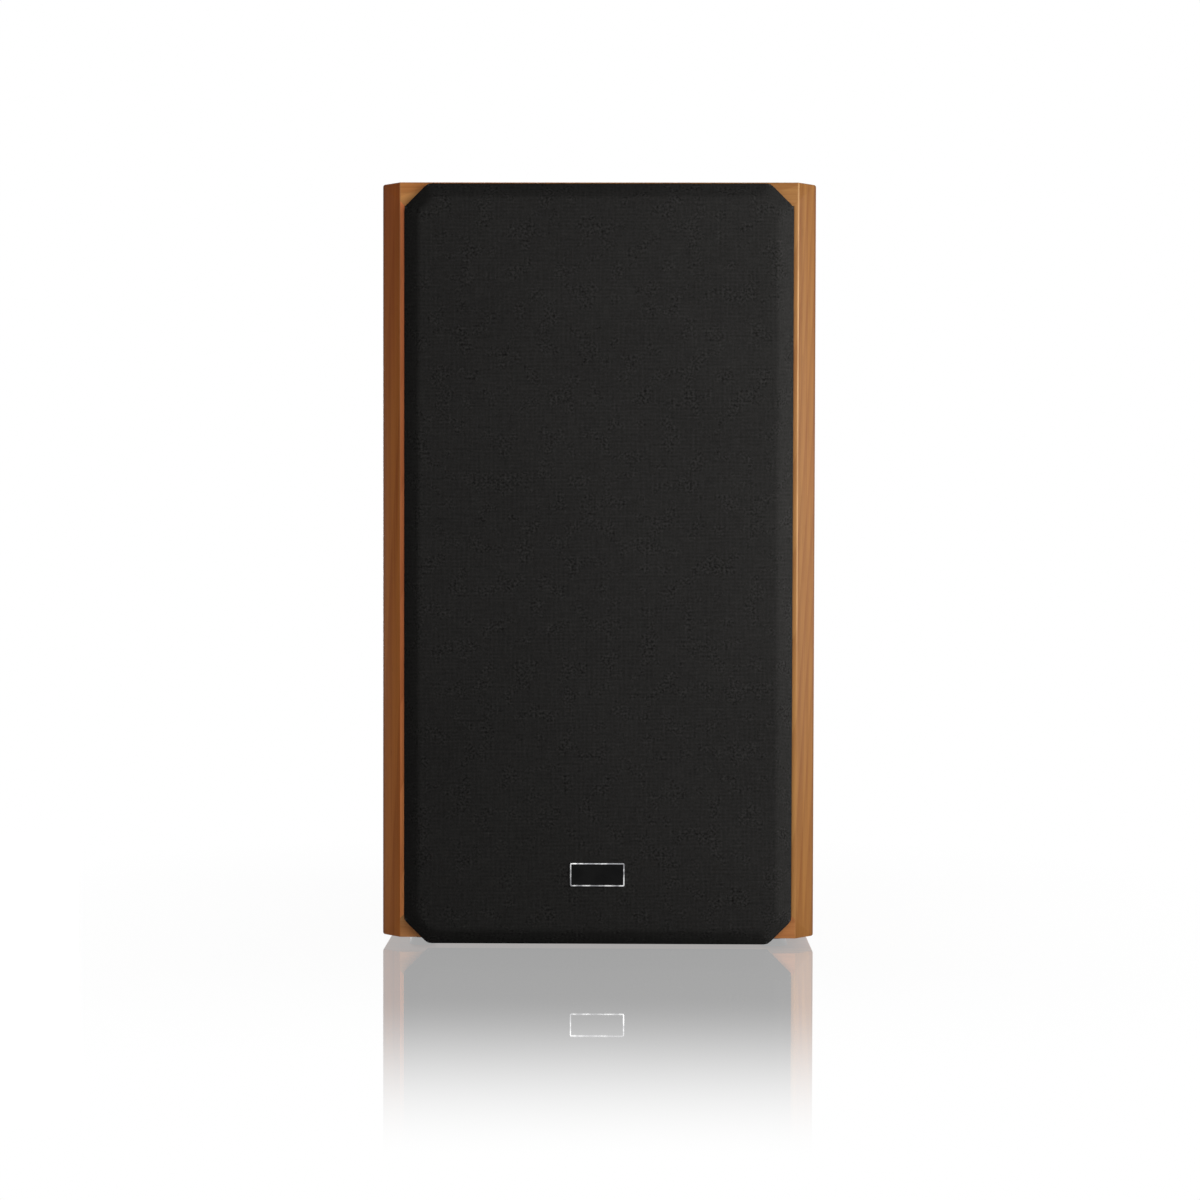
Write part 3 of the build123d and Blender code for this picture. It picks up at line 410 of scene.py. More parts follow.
def block(low, high):
    """A box between two corners."""
    bm = bmesh.new()
    place = Matrix.Translation((low + high) / 2) @ Matrix.Diagonal((*(high - low), 1.0))
    bmesh.ops.create_cube(bm, size=1.0, matrix=place)
    return bm


def slice_off(bm, point, normal):
    """Cuts off what lies on the normal's side of a plane, and closes the cut with a face."""
    geometry = bm.verts[:] + bm.edges[:] + bm.faces[:]
    cut = bmesh.ops.bisect_plane(bm, geom=geometry, dist=same_place, plane_co=point, plane_no=normal,
                                 clear_outer=True)
    rim = [e for e in cut["geom_cut"] if isinstance(e, bmesh.types.BMEdge)]
    bmesh.ops.edgeloop_fill(bm, edges=rim)


def round_edges(bm, edges, radius, segments=2, affect="EDGES"):
    bmesh.ops.bevel(bm, geom=edges, offset=radius, offset_type="OFFSET", affect=affect,
                    segments=segments, profile=0.5, material=-1, clamp_overlap=True)


def on_lathe(outline, thickness, up, steps):
    """Spins an outline of (radius, out) points in mm, outer face first, and gives it a thickness."""
    bm = bmesh.new()
    points = [bm.verts.new((radius * mm, 0.0, out * mm)) for radius, out in outline]
    lines = [bm.edges.new(pair) for pair in zip(points, points[1:])]
    bmesh.ops.spin(bm, geom=points + lines, cent=(0, 0, 0), axis=(0, 0, 1), angle=2 * math.pi,
                   steps=steps, use_merge=True)
    bmesh.ops.remove_doubles(bm, verts=bm.verts[:], dist=same_place)
    bm.normal_update()
    if sum(f.normal.z for f in bm.faces) < 0:
        bmesh.ops.reverse_faces(bm, faces=bm.faces[:])
        bm.normal_update()
    bmesh.ops.solidify(bm, geom=bm.faces[:], thickness=thickness * mm)
    bmesh.ops.transform(bm, matrix=front @ Matrix.Translation((0.0, up * mm, 0.0)), verts=bm.verts[:])
    return bm


def arc(r0, r1, base, height, segments):
    """Points of a round bump from r0 to r1 that rises by height over its base."""
    turns = [math.pi * i / segments for i in range(segments + 1)]
    return [((r0 + r1) / 2 - math.cos(a) * (r1 - r0) / 2, base + math.sin(a) * height) for a in turns]


# %% [markdown]
# ## Lacquered veneer
#
# The cabinet is covered in a thin sheet of warm orange-brown wood, sliced almost flat from a log.
# A flat slice through growth rings gives long pointed arches in the middle and straight lines at
# its edges. So the rings are drawn as they grew, as cylinders round a leaning core, and each panel
# simply shows where it cuts through them. On top come fine streaks, short dark pores and slow
# changes of colour from golden to reddish, all stretched along the grain. A thin satin lacquer lies
# over it, which is the shader's coat.
#
# Each chamfer is covered by a strip of its own that runs the full height, over the mitres; the one at the
# left is redder. Both strips also carry painted light: the left one is made lighter against the shade on
# that side, the right one darker against the lamps there. Along the inner edge a pale line is a painted
# highlight, most at the right and high up, where the light catches the eased edge; along the outer edge a
# dark line is painted shade. The narrow front edges beside the grille take painted light too: lighter at
# the left, where the grille shades them, and darker at the right.

# %% Veneer
ring_width = 7.0 * mm
ring_waver = 35.0 * mm
pore_width = 0.5 * mm
golden = srgb(172, 124, 70)
reddish = srgb(158, 100, 57)
streak_brown = srgb(134, 80, 40)
# The pores' brown, also painted as shade along the chamfers' outer edges.
pore_and_shade_brown = srgb(90, 52, 28)
# A pale colour, painted as a highlight along the chamfers' inner edges.
highlight_wood = srgb(232, 186, 134)
front_chamfer = 15.0 * mm
# Heights, in metres, between which that painted highlight grows stronger.
highlight_heights = (0.145, 0.373)


def cut_leaf(wood, turn, core, lean, shift):
    """One leaf of veneer, with its grain along the local Z axis after the turn."""
    along = wood.stretched((1.0, 1.0, 1.0), turn)
    placing = {"shift": shift, "place": along}
    waver = wood.drawn((6, 6, 1.1), **placing) - 0.5
    x, y, z = wood.split(along)
    from_core = ((x - core[0]) ** 2 + (y - core[1] + z * lean + waver * ring_waver) ** 2) ** 0.5
    rings = (from_core / ring_width).math("FRACT")
    late = rings.between(0.3, 0.95) * (1 - rings.between(0.95, 1.0))
    streaks = wood.drawn((300, 300, 4), 4.0, 0.6, **placing)
    hairs = wood.drawn((900, 900, 14), 2.0, **placing)
    slow = wood.drawn((36, 36, 2.2), **placing)
    blush = wood.drawn((14, 14, 2), 2.0, turn=(0.2, 0.1, 0.0), **placing)
    pore = wood.drawn((1 / pore_width, 1 / pore_width, 60), 2.0, place=along).between(0.66, 0.76)
    colour = wood.mix(blush.between(0.38, 0.62), golden, reddish)
    colour = wood.mix(streaks.between(0.35, 0.8) * 0.5 + late * 0.28, colour, streak_brown)
    colour = wood.mix(slow.between(0.45, 0.8) * 0.3, colour, streak_brown)
    colour = wood.mix(hairs.between(0.5, 0.8) * 0.16 + pore * 0.4, colour, pore_and_shade_brown)
    return colour, streaks, late, pore


def make_veneer(name, tone, edge_light_pair, *leaf):
    """A panel's veneer, with the strips on the chamfers and the painted light, highlight and shade along
    their edges.
    """
    wood = Finish(name, coat_weight=0.03, coat_roughness=0.25, specular_ior_level=0.07)
    colour, streaks, late, pore = cut_leaf(wood, *leaf)
    colour = wood.mix(1.0, colour, tone, "MULTIPLY")
    x, y, z = wood.split(wood.place)
    inwards = half_width - x.math("ABSOLUTE")
    depth = y - front_face
    at_right = x.between(-left_right_span, left_right_span)
    # The chamfer strips' tones: the wood's own colour, lifted as painted light at the left and lowered as
    # painted shade at the right.
    strip_wood_and_light = wood.mix(at_right, left_strip_wood_and_light, right_strip_wood_and_shade)
    strip = wood.mix(1.0, cut_leaf(wood, *strip_leaf)[0], strip_wood_and_light, "MULTIPLY")
    on_strip = 1 - (depth + inwards - front_chamfer).between(0.2 * mm, 0.7 * mm)
    # The front edges take painted light: lighter at the left, where the grille shades them, darker at the
    # right.
    painted_edge_light = wood.mix(at_right, *edge_light_pair)
    on_edge = 1 - depth.between(0.8 * mm, 1.2 * mm)
    colour = wood.mix(on_edge, colour, wood.mix(1.0, colour, painted_edge_light, "MULTIPLY"))
    colour = wood.mix(on_strip, colour, strip)
    inner_edge = ((inwards - front_chamfer) ** 2 + depth**2) ** 0.5
    outer_edge = (inwards**2 + (depth - front_chamfer) ** 2) ** 0.5
    # A dark line along each chamfer's outer edge is painted shade, where the round turns away from the
    # light.
    colour = wood.mix((1 - outer_edge.between(0.9 * mm, 2.8 * mm)) * 0.55, colour, pore_and_shade_brown)
    # A pale line down each chamfer's inner edge is a painted highlight, strongest high up and at the
    # right, where the light catches the eased edge.
    highlight_patches = wood.drawn((3, 3, 11), 2.0).between(0.42, 0.6)
    highlight_strength = 0.06 + z.between(*highlight_heights) * (0.36 + highlight_patches * 0.14)
    painted_highlight = (1 - inner_edge.between(0.35 * mm, 1.05 * mm)) * highlight_strength * (0.3 + at_right * 0.7)
    colour = wood.mix(painted_highlight, colour, highlight_wood)
    height = streaks * 0.25 + late * 0.2 - pore
    return wood.surface(colour, 0.4 + streaks * 0.12 + pore * 0.15, height, 0.04 * mm, 0.4)


# A leaf says how it is turned, where the core of its log lies, how far that leans, and a shift.
upright, sideways = (0.0, 0.0, 0.0), (0.0, math.pi / 2, 0.0)
strip_leaf = (upright, (0.22, 0.01), -0.08, (5.0, 1.0, 2.0))
# The strip tones: the left one redder, as the wood is, and lifted as painted light against the shade
# there; the right one lowered as painted shade against the lamps that light it.
left_strip_wood_and_light = (1.06, 0.72, 0.46)
right_strip_wood_and_shade = (0.65, 0.58, 0.46)
# Width in which the strip tones, the front edges' painted light and the highlight change from left to
# right.
left_right_span = 150.0 * mm
# Tones of the front edges beside the grille, as painted light: lifted at the left against the grille's
# shadow, lowered at the right against the key light.
left_edge_painted_light = (2.15, 1.81, 1.97)
right_edge_painted_light = (1.0, 0.96, 0.96)
corner_edge_painted_shade = (0.85, 0.83, 0.84)
# The left panel's tone is raised as painted light, against the shade on that side.
veneer_left = make_veneer("veneer_left", (1.22, 1.1, 1.03), (left_edge_painted_light, left_edge_painted_light),
                          upright, (-0.215, 0.03), 0.1, (0.0, 3.0, 1.0))
veneer_right = make_veneer("veneer_right", (1.0, 1.0, 1.0), (right_edge_painted_light, right_edge_painted_light),
                           *strip_leaf)
veneer_top = make_veneer("veneer_top", (1.15, 1.15, 1.15), ((1.38, 1.3, 1.28), corner_edge_painted_shade),
                         sideways, (0.65, 0.02), 0.09, (2.0, 7.0, 4.0))
veneer_bottom = make_veneer("veneer_bottom", (0.96, 0.96, 0.96), ((1.7, 1.9, 2.2), (1.28, 1.2, 1.3)),
                            sideways, (-0.05, 0.03), 0.07, (9.0, 2.0, 6.0))
print("rings", round(ring_width / mm, 1), "mm apart")

# %% [markdown]
# ## The cabinet's four panels
#
# The two sides, the top and the bottom meet in mitres, 45-degree joints that hide every end grain.
# Each panel starts as a block the size of its construction piece. Planes cut the mitres, break the
# long outer corners, and take the broad chamfers off the front. A perfectly sharp edge looks like a
# drawing, so the edges that show are eased as well; it is this small round that catches the light
# as a bright line along each chamfer. The faces that are glued together stay sharp and closed.

# %% Panels
edge_ease = 0.8 * mm
corner_break = 0.5 * mm
half_way_up = (cabinet_low.z + cabinet_high.z) / 2
touching = 0.1 * mm


def glued(face):
    """Whether a face is one of the mitres, which look up or down and inwards."""
    centre = face.calc_center_median()
    outwards = centre.x * face.normal.x
    leans = abs(face.normal.x) > 0.5 and abs(face.normal.z) > 0.5
    return leans and outwards * (centre.z - half_way_up) * face.normal.z < 0


def make_panel(node, material):
    """A block, its mitres, its long corners and the cabinet's front chamfers, then the eased edges."""
    low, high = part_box(node)
    inwards = -1 if node.startswith("side") else 1
    bm = block(low, high)
    for side in (-1, 1):
        reaches_side = abs((low if side < 0 else high).x - side * half_width) < touching
        for end, level in ((-1, cabinet_low.z), (1, cabinet_high.z)):
            reaches_end = abs((low if end < 0 else high).z - level) < touching
            if reaches_side and reaches_end:
                corner = Vector((side * half_width, 0.0, level))
                slice_off(bm, corner, Vector((side * inwards, 0.0, -end * inwards)))
                outwards = Vector((side, 0.0, end))
                slice_off(bm, corner - outwards * corner_break, outwards)
        if reaches_side:
            corner = Vector((side * (half_width - front_chamfer), front_face, 0.0))
            slice_off(bm, corner, Vector((side, -1.0, 0.0)))
    bm.normal_update()
    shown = [e for e in bm.edges if not any(glued(f) for f in e.link_faces)]
    round_edges(bm, shown, edge_ease)
    make_piece(node + "_veneered", bm, "cabinet", material, [node])


make_panel("side_panel_left", veneer_left)
make_panel("side_panel_right", veneer_right)
make_panel("top_panel", veneer_top)
make_panel("bottom_panel", veneer_bottom)

# %% [markdown]
# ## The grille cloth
#
# Black speaker cloth is an open plain weave, pulled tight over a bevelled frame and stapled behind
# it. It follows the frame, but never as sharply: it spans each edge in a small curve. An eight-sided
# face is inset with a depth, which gives the bevels, and its border is drawn back round the frame
# and inwards. Bevelling all the edges softly then makes it read as cloth, and a thickness closes it.

# %% Cloth shape
bevel_width = 12.5 * mm
bevel_depth = 12.0 * mm
bevel_start = 9.2 * mm
corner_clip = 19.0 * mm
cloth_standoff = 0.8 * mm
cloth_return = 8.0 * mm
cloth_thickness = 0.7 * mm
face_fold = 2.6 * mm
outer_fold = 1.4 * mm
hip_fold = 4.5 * mm
flush = 0.01 * mm
cloth_low, cloth_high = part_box("grille_cloth")
cloth_centre, cloth_half = (cloth_low + cloth_high) / 2, (cloth_high - cloth_low) / 2


def upright_rectangle(bm, centre, half, depth):
    """One face at this depth that looks at the listener."""
    place = Matrix.Translation((centre.x, depth, centre.z)) @ Matrix.Rotation(math.pi / 2, 4, "X")
    size = Matrix.Diagonal((half.x, half.z, 1.0, 1.0))
    return bmesh.ops.create_grid(bm, x_segments=1, y_segments=1, size=1.0, matrix=place @ size)["verts"]


def lies_at(out, *verts):
    return all(abs(front_face - v.co.y - out) < flush for v in verts)


def make_cloth_shape():
    bm = bmesh.new()
    corners = upright_rectangle(bm, cloth_centre, cloth_half, front_face - bevel_start)
    round_edges(bm, corners, corner_clip, 1, "VERTICES")
    bmesh.ops.inset_region(bm, faces=bm.faces[:], thickness=bevel_width, depth=bevel_depth,
                           use_boundary=True, use_even_offset=True)
    border = [e for e in bm.edges if e.is_boundary]
    wall = bmesh.ops.extrude_edge_only(bm, edges=border)["geom"]
    back = (bevel_start - cloth_standoff) * Vector((0.0, 1.0, 0.0))
    bmesh.ops.translate(bm, vec=back, verts=[v for v in wall if isinstance(v, bmesh.types.BMVert)])
    rim = [e for e in wall if isinstance(e, bmesh.types.BMEdge) and e.is_boundary]
    lid = bmesh.ops.edgeloop_fill(bm, edges=rim)["faces"]
    bmesh.ops.recalc_face_normals(bm, faces=bm.faces[:])
    bmesh.ops.inset_region(bm, faces=lid, thickness=cloth_return, use_boundary=True,
                           use_even_offset=True)
    bmesh.ops.delete(bm, geom=lid, context="FACES_ONLY")
    hips = [e for e in bm.edges if abs(e.verts[0].co.y - e.verts[1].co.y) > bevel_depth * 0.9]
    round_edges(bm, hips, hip_fold, 3)
    face_rim = [e for e in bm.edges if lies_at(bevel_start + bevel_depth, *e.verts)]
    round_edges(bm, face_rim, face_fold, 4)
    outer_rim = [e for e in bm.edges if lies_at(bevel_start, *e.verts)
                 or lies_at(cloth_standoff, *e.verts) and not e.is_boundary]
    round_edges(bm, outer_rim, outer_fold, 3)
    bm.normal_update()
    return bm


# %% [markdown]
# The weave follows the cloth round the bevels, so it needs coordinates of its own. Across the face
# they are simply the place in metres. Over an edge the cloth goes on by the way it has come
# down, along the direction in which that side looks; that is added on, side by side.

# %% Weave coordinates
bevel_run = math.hypot(bevel_width, bevel_depth)


def unroll(bm):
    """A UV map in metres on the cloth itself."""
    layer = bm.loops.layers.uv.new("weave")
    for face in bm.faces:
        looks = Vector((face.normal.x, face.normal.z))
        looks = looks.normalized() if looks.length > 0.05 else Vector((0.0, 0.0))
        for loop in face.loops:
            place = loop.vert.co
            drop = max(0.0, place.y - (front_face - bevel_start - bevel_depth))
            extra = min(drop, bevel_depth) * (bevel_run - bevel_width) / bevel_depth
            extra += max(0.0, drop - bevel_depth)
            inside = min(cloth_half[i] - abs(place[i] - cloth_centre[i]) for i in (0, 2))
            if drop > bevel_depth + bevel_start - cloth_standoff - 0.5 * mm:
                extra += 2 * max(0.0, inside)
            loop[layer].uv = (place.x + looks.x * extra, place.z + looks.y * extra)


# %% [markdown]
# Each thread goes over one and under the next. A sine of the place across a thread gives its round back,
# and the product of the two sines says, like a chess board, which thread is on top. What lies lower is
# painted darker as shade, and the open corners between threads, holes through to the dark behind, are
# darkest. The yarn is matt: what shine it had would only lay a pale veil over the black. Here and there
# the crossings differ, in clusters. Over the whole cloth a painted gradient of light makes it a little
# lighter high up and on the right.

# %% Cloth finish
warp_pitch = 1.02 * mm
weft_pitch = 1.1 * mm
yarn = (0.0282, 0.0274, 0.0262)
gap = (0.0125, 0.0123, 0.0120)
# How fast the cloth's painted light grows upwards and towards the right.
light_gradient_up = 0.32          # per metre
light_gradient_right = 0.7        # per metre


def weave(u, v, warp, weft):
    """Height of a plain weave from 0 to 1, from two Numbers and the pitch of the threads."""
    across = (u * (math.pi / warp)).math("SINE")
    along = (v * (math.pi / weft)).math("SINE")
    over = across * along
    upright_thread = across.math("ABSOLUTE") * (0.55 + 0.45 * over)
    level_thread = along.math("ABSOLUTE") * (0.55 - 0.45 * over)
    return upright_thread.math("MAXIMUM", level_thread)


def make_speaker_cloth():
    cloth = Finish("speaker_cloth", specular_ior_level=0.0)
    lie = cloth.add("ShaderNodeUVMap", {"uv_map": "weave"}).outputs[0]
    u, v, _ = cloth.split(lie)
    wander = (cloth.drawn((60, 60, 1), 2.0, place=lie) - 0.5) * (0.5 * mm)
    height = weave(u + wander, v - wander, warp_pitch, weft_pitch)
    slub = cloth.drawn((500, 60, 1), 2.0, place=lie)
    other_slub = cloth.drawn((60, 500, 1), 2.0, place=lie)
    fuzz = cloth.drawn((1500, 700, 1), 2.0, turn=(0.0, 0.0, 0.8), place=lie)
    crossings = cloth.noise(lie, 520.0, 1.0) - 0.5
    clusters = cloth.noise(lie, 60.0, 2.0).between(0.48, 0.62)
    cloudy = cloth.noise(lie, 9.0, 3.0)
    # Painted light: the cloth grows a little lighter high up and to the right.
    painted_light_gradient = 0.97 + (v - cloth_centre.z) * light_gradient_up + u * light_gradient_right
    # Threads that lie low take the darker gap colour as painted shade.
    threads_and_shade = cloth.mix(height.between(0.1, 0.75), gap, yarn)
    light = 0.8 + cloudy * 0.3 + (slub + other_slub - 1.0) * 0.4 + (fuzz - 0.5) * 0.6
    light = (light + crossings * (0.5 + clusters * 1.5)) * painted_light_gradient
    level = cloth.add("ShaderNodeCombineColor", None, {0: light, 1: light, 2: light}).outputs[0]
    colour = cloth.mix(1.0, threads_and_shade, level, "MULTIPLY")
    return cloth.surface(colour, 0.3 + fuzz * 0.15, height + fuzz * 0.4, 0.2 * mm, 0.5)


speaker_cloth = make_speaker_cloth()
shape = make_cloth_shape()
unroll(shape)
bmesh.ops.solidify(shape, geom=shape.faces[:], thickness=cloth_thickness)
grille_cloth = make_piece("grille_cloth_stretched", shape, "grille", speaker_cloth,
                          ["grille_cloth"], 50.0)

# %% [markdown]
# ## The badge
#
# A small plate sits low on the cloth: a bright metal rim round a black glossy field. The rim is a
# flat ring with rounded corners and a broken edge; without that edge it would be a white outline.

# %% Badge rim
badge_low, badge_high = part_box("badge_rim")
badge_centre, badge_half = (badge_low + badge_high) / 2, (badge_high - badge_low) / 2
rim_width = 1.4 * mm
rim_corner = 1.2 * mm
rim_break = 0.4 * mm


def make_rim():
    bm = bmesh.new()
    upright_rectangle(bm, badge_centre, badge_half, badge_low.y)
    field = bm.faces[:]
    bmesh.ops.inset_region(bm, faces=field, thickness=rim_width, use_boundary=True)
    bmesh.ops.delete(bm, geom=field, context="FACES_ONLY")
    bm.normal_update()
    bmesh.ops.solidify(bm, geom=bm.faces[:], thickness=badge_half.y * 2)
    corners = [e for e in bm.edges if abs((e.verts[0].co - e.verts[1].co).normalized().y) > 0.99]
    outer = [e for e in corners
             if abs(e.verts[0].co.x - badge_centre.x) > badge_half.x - rim_width / 2]
    inner = [e for e in corners if e not in outer]
    round_edges(bm, outer, rim_corner, 4)
    round_edges(bm, [e for e in inner if e.is_valid], rim_corner / 2, 3)
    bm.normal_update()
    top = [e for e in bm.edges if all(v.co.y < badge_low.y + flush for v in e.verts)
           and e.calc_face_angle(0.0) > 1.0]
    round_edges(bm, top, rim_break, 2)
    return bm


def make_bright_metal():
    metal = Finish("bright_rim", metallic=1.0)
    brushed = metal.drawn((60, 3000, 3000), 2.0)
    # The rim's patches of light and dark grey are a painted reflection of the studio.
    reflection_patches = metal.noise(metal.place, 120.0, 2.0)
    colour = metal.mix(reflection_patches.between(0.42, 0.6), (0.6, 0.6, 0.6), (0.2, 0.2, 0.21))
    return metal.surface(colour, 0.2 + brushed * 0.2, brushed, 0.02 * mm, 0.5)


make_piece("badge_rim_bright", make_rim(), "grille", make_bright_metal(),
           ["badge_rim"], 30.0)

# %% [markdown]
# ## Finishes for the pieces whose shape is already right
#
# Most pieces keep their construction mesh and only get a finish. Each finish is built from what its
# surface has gone through: paint that dried with a fine orange peel, plastic that took the grain of
# its mould, metal that was rolled, turned or plated, magnets that were ground.

# %% Finishes with two tones and a relief
mottled = {
    # name: dark and light tone, mm across a patch, relief and its size in mm, roughness from and to,
    # specular level, metallic
    "black_paint": ((0.017, 0.017, 0.0175), (0.021, 0.0205, 0.02), 40, 0.06, 1.1, 0.5, 0.65, 0.2, 0),
    "raw_fibreboard": ((0.33, 0.22, 0.13), (0.47, 0.34, 0.21), 3, 0.08, 0.7, 0.8, 0.95, 0.2, 0),
    "moulded_plastic": ((0.018, 0.018, 0.019), (0.028, 0.028, 0.029), 25, 0.03, 0.5, 0.42, 0.56, 0.3, 0),
    "powder_coat": ((0.02, 0.02, 0.021), (0.035, 0.035, 0.036), 18, 0.05, 0.8, 0.38, 0.52, 0.3, 0),
    "soft_rubber": ((0.016, 0.016, 0.016), (0.021, 0.0205, 0.02), 9, 0.02, 0.6, 0.38, 0.5, 0.4, 0),
    "zinc_plate": ((0.5, 0.5, 0.47), (0.68, 0.68, 0.66), 5, 0.02, 1.0, 0.25, 0.42, 0.5, 1),
    "ground_ferrite": ((0.045, 0.045, 0.047), (0.1, 0.098, 0.095), 1.4, 0.06, 0.6, 0.55, 0.75, 0.5, 0),
    "polished_brass": ((0.66, 0.46, 0.17), (0.82, 0.62, 0.28), 4, 0.01, 0.4, 0.16, 0.32, 0.5, 1),
    "cast_cement": ((0.66, 0.64, 0.57), (0.82, 0.8, 0.74), 2.5, 0.12, 0.9, 0.75, 0.9, 0.3, 0),
    "wrapped_film": ((0.62, 0.44, 0.06), (0.78, 0.6, 0.12), 9, 0.05, 3.0, 0.2, 0.34, 0.5, 0),
    "cable_jacket": ((0.022, 0.022, 0.023), (0.04, 0.04, 0.04), 12, 0.02, 1.5, 0.35, 0.5, 0.5, 0),
    "gloss_black": ((0.008, 0.008, 0.009), (0.014, 0.014, 0.014), 20, 0.01, 6.0, 0.06, 0.16, 0.5, 0),
    "badge_enamel": ((0.003, 0.003, 0.0032), (0.006, 0.006, 0.006), 12, 0.01, 5.0, 0.05, 0.12, 0.06, 0),
    "gloss_red": ((0.36, 0.012, 0.012), (0.5, 0.028, 0.022), 8, 0.01, 4.0, 0.2, 0.32, 0.5, 0),
}


def make_mottled(name, dark, light, patch, relief, relief_size, smooth, rough, specular, metallic):
    """Two tones that drift into each other, with a fine relief."""
    finish = Finish(name, specular_ior_level=specular, metallic=metallic)
    tone = finish.noise(finish.place, 1.0 / (patch * mm))
    grain = finish.noise(finish.place, 1.0 / (relief_size * mm), 2.0)
    colour = finish.mix(tone.between(0.35, 0.65), dark, light)
    return finish.surface(colour, smooth + tone * (rough - smooth), grain, relief * mm, 0.6)


finishes = {name: make_mottled(name, *row) for name, row in mottled.items()}
print(len(finishes), "finishes so far")

# %% [markdown]
# Three kinds of finish have turns in them: a screw thread, a wound coil and a voice coil. A sine of
# the place along the axis gives one groove for each turn. On a voice coil only the inner end carries
# wire; in front of it the bare former shows, a tube of brown heat-proof paper.

# %% Finishes with turns
def make_turns(name, colour, other, axis, pitch, depth, rough, wire_span=None, **constants):
    """Grooves round an axis, 0 for X to 2 for Z; wire_span limits them to a stretch of the axis."""
    finish = Finish(name, **constants)
    level = finish.split(finish.place)[axis]
    groove = (level * (2 * math.pi / pitch)).math("SINE") * 0.5 + 0.5
    tone = finish.noise(finish.place, 300.0, 2.0)
    wire = finish.mix(groove * 0.6 + tone * 0.4, colour, other)
    if wire_span:
        low, high, former = wire_span
        on_wire = level.between(low, low + 0.1 * mm) * (1 - level.between(high, high + 0.1 * mm))
        wire = finish.mix(on_wire, former, wire)
        groove = groove * on_wire
    finishes[name] = finish.surface(wire, rough + tone * 0.15, groove, depth, 0.8)


copper_dark, copper_light = (0.42, 0.16, 0.07), (0.78, 0.38, 0.2)
brown_paper = (0.32, 0.17, 0.07)
make_turns("threaded_brass", (0.82, 0.62, 0.28), (0.42, 0.28, 0.1), axis=1, pitch=0.7 * mm,
           depth=0.2 * mm, rough=0.2, metallic=1.0)
make_turns("wound_copper", copper_light, copper_dark, axis=2, pitch=1.0 * mm, depth=0.3 * mm,
           rough=0.25, metallic=0.8)

# Each voice coil has a winding height and a pitch, in mm. The wire starts at the coil's inner end,
# which is the far end along Y.
voice_coils = {"woofer": (14.0, 0.45), "midrange": (7.0, 0.3), "tweeter": (3.0, 0.2)}
for driver, (winding_height, pitch) in voice_coils.items():
    _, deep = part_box(driver + "_voice_coil")
    wire_span = (deep.y - winding_height * mm, deep.y + 1 * mm, brown_paper)
    make_turns(driver + "_wire", copper_light, copper_dark, axis=1, pitch=pitch * mm, depth=0.1 * mm,
               rough=0.3, wire_span=wire_span, metallic=0.5)
print(len(finishes), "finishes so far")

# %% [markdown]
# Paper, doped cloth and silk belong to the moving pieces. Cone paper is felted from fibres that lie
# every way, so its relief comes from noise drawn out in three directions at once.

# %% Paper and cloth of the drivers
def make_cone_paper():
    paper = Finish("cone_paper", specular_ior_level=0.1)
    felt = paper.fibres((900, 900, 90), ((0.0, 0.9, 0.0), (0.0, -0.7, 0.0), (0.0, 2.4, 0.3)), 2.0)
    colour = paper.mix(felt.between(0.45, 0.8), (0.02, 0.02, 0.021), (0.055, 0.053, 0.05))
    return paper.surface(colour, 0.72 + felt * 0.2, felt, 0.12 * mm, 0.8)


def make_doped_cloth(name, thread, sunk, pitch, relief, rough, **constants):
    """A woven disc stiffened with lacquer, with its weave in the plane of the front."""
    cloth = Finish(name, **constants)
    x, _, z = cloth.split(cloth.place)
    height = weave(x, z, pitch, pitch)
    tone = cloth.noise(cloth.place, 90.0, 3.0)
    # Where the weave lies low it takes the sunk colour as painted shade; the tone mixed in after it is the
    # cloth's own.
    colour = cloth.mix(height.between(0.15, 0.8), sunk, thread)
    colour = cloth.mix(tone * 0.4, colour, sunk)
    return cloth.surface(colour, rough + tone * 0.2, height, relief, 0.8)


cone_paper = make_cone_paper()
spider_cloth = make_doped_cloth("spider_cloth", (0.5, 0.3, 0.1), (0.24, 0.12, 0.035), pitch=0.9 * mm,
                                relief=0.25 * mm, rough=0.6, specular_ior_level=0.3)
dome_silk = make_doped_cloth("dome_silk", (0.035, 0.034, 0.033), (0.012, 0.012, 0.012),
                             pitch=0.45 * mm, relief=0.08 * mm, rough=0.4, specular_ior_level=0.4)
print("drivers:", cone_paper.name, spider_cloth.name, dome_silk.name)

# %% [markdown]
# One table says which finish goes on which piece; the motors of the three drivers are alike, so a
# loop adds them. A construction piece is never moved or reshaped: only what lies in its material
# slots changes.

# %% Finishes on the construction pieces
finish_of = {
    "black_paint": "front_baffle back_panel grille_frame",
    "raw_fibreboard": "shelf_brace corner_cleats crossover_board",
    "powder_coat": "back_panel_screws driver_screws small_screws woofer_basket midrange_basket",
    "soft_rubber": "rubber_feet driver_gaskets",
    "moulded_plastic": "grille_pegs grille_cups port_tube midrange_chamber tweeter_faceplate terminal_cup",
    "badge_enamel": "badge_plate",
    "gloss_black": "post_cap_black",
    "gloss_red": "post_cap_red",
    "polished_brass": "post_nuts post_washer_red post_washer_black driver_terminals",
    "threaded_brass": "post_studs",
    "wound_copper": "crossover_coils",
    "wrapped_film": "crossover_capacitors",
    "cast_cement": "crossover_resistors",
}

made_of = {name: finish for finish, names in finish_of.items() for name in names.split()}
for driver in voice_coils:
    made_of[driver + "_voice_coil"] = driver + "_wire"
    made_of[driver + "_magnet"] = "ground_ferrite"
    made_of[driver + "_top_plate"] = made_of[driver + "_yoke"] = "zinc_plate"
for name, finish in made_of.items():
    for place in nodes[name].material_slots:
        place.material = finishes[finish]
print(len(made_of), "construction pieces finished")

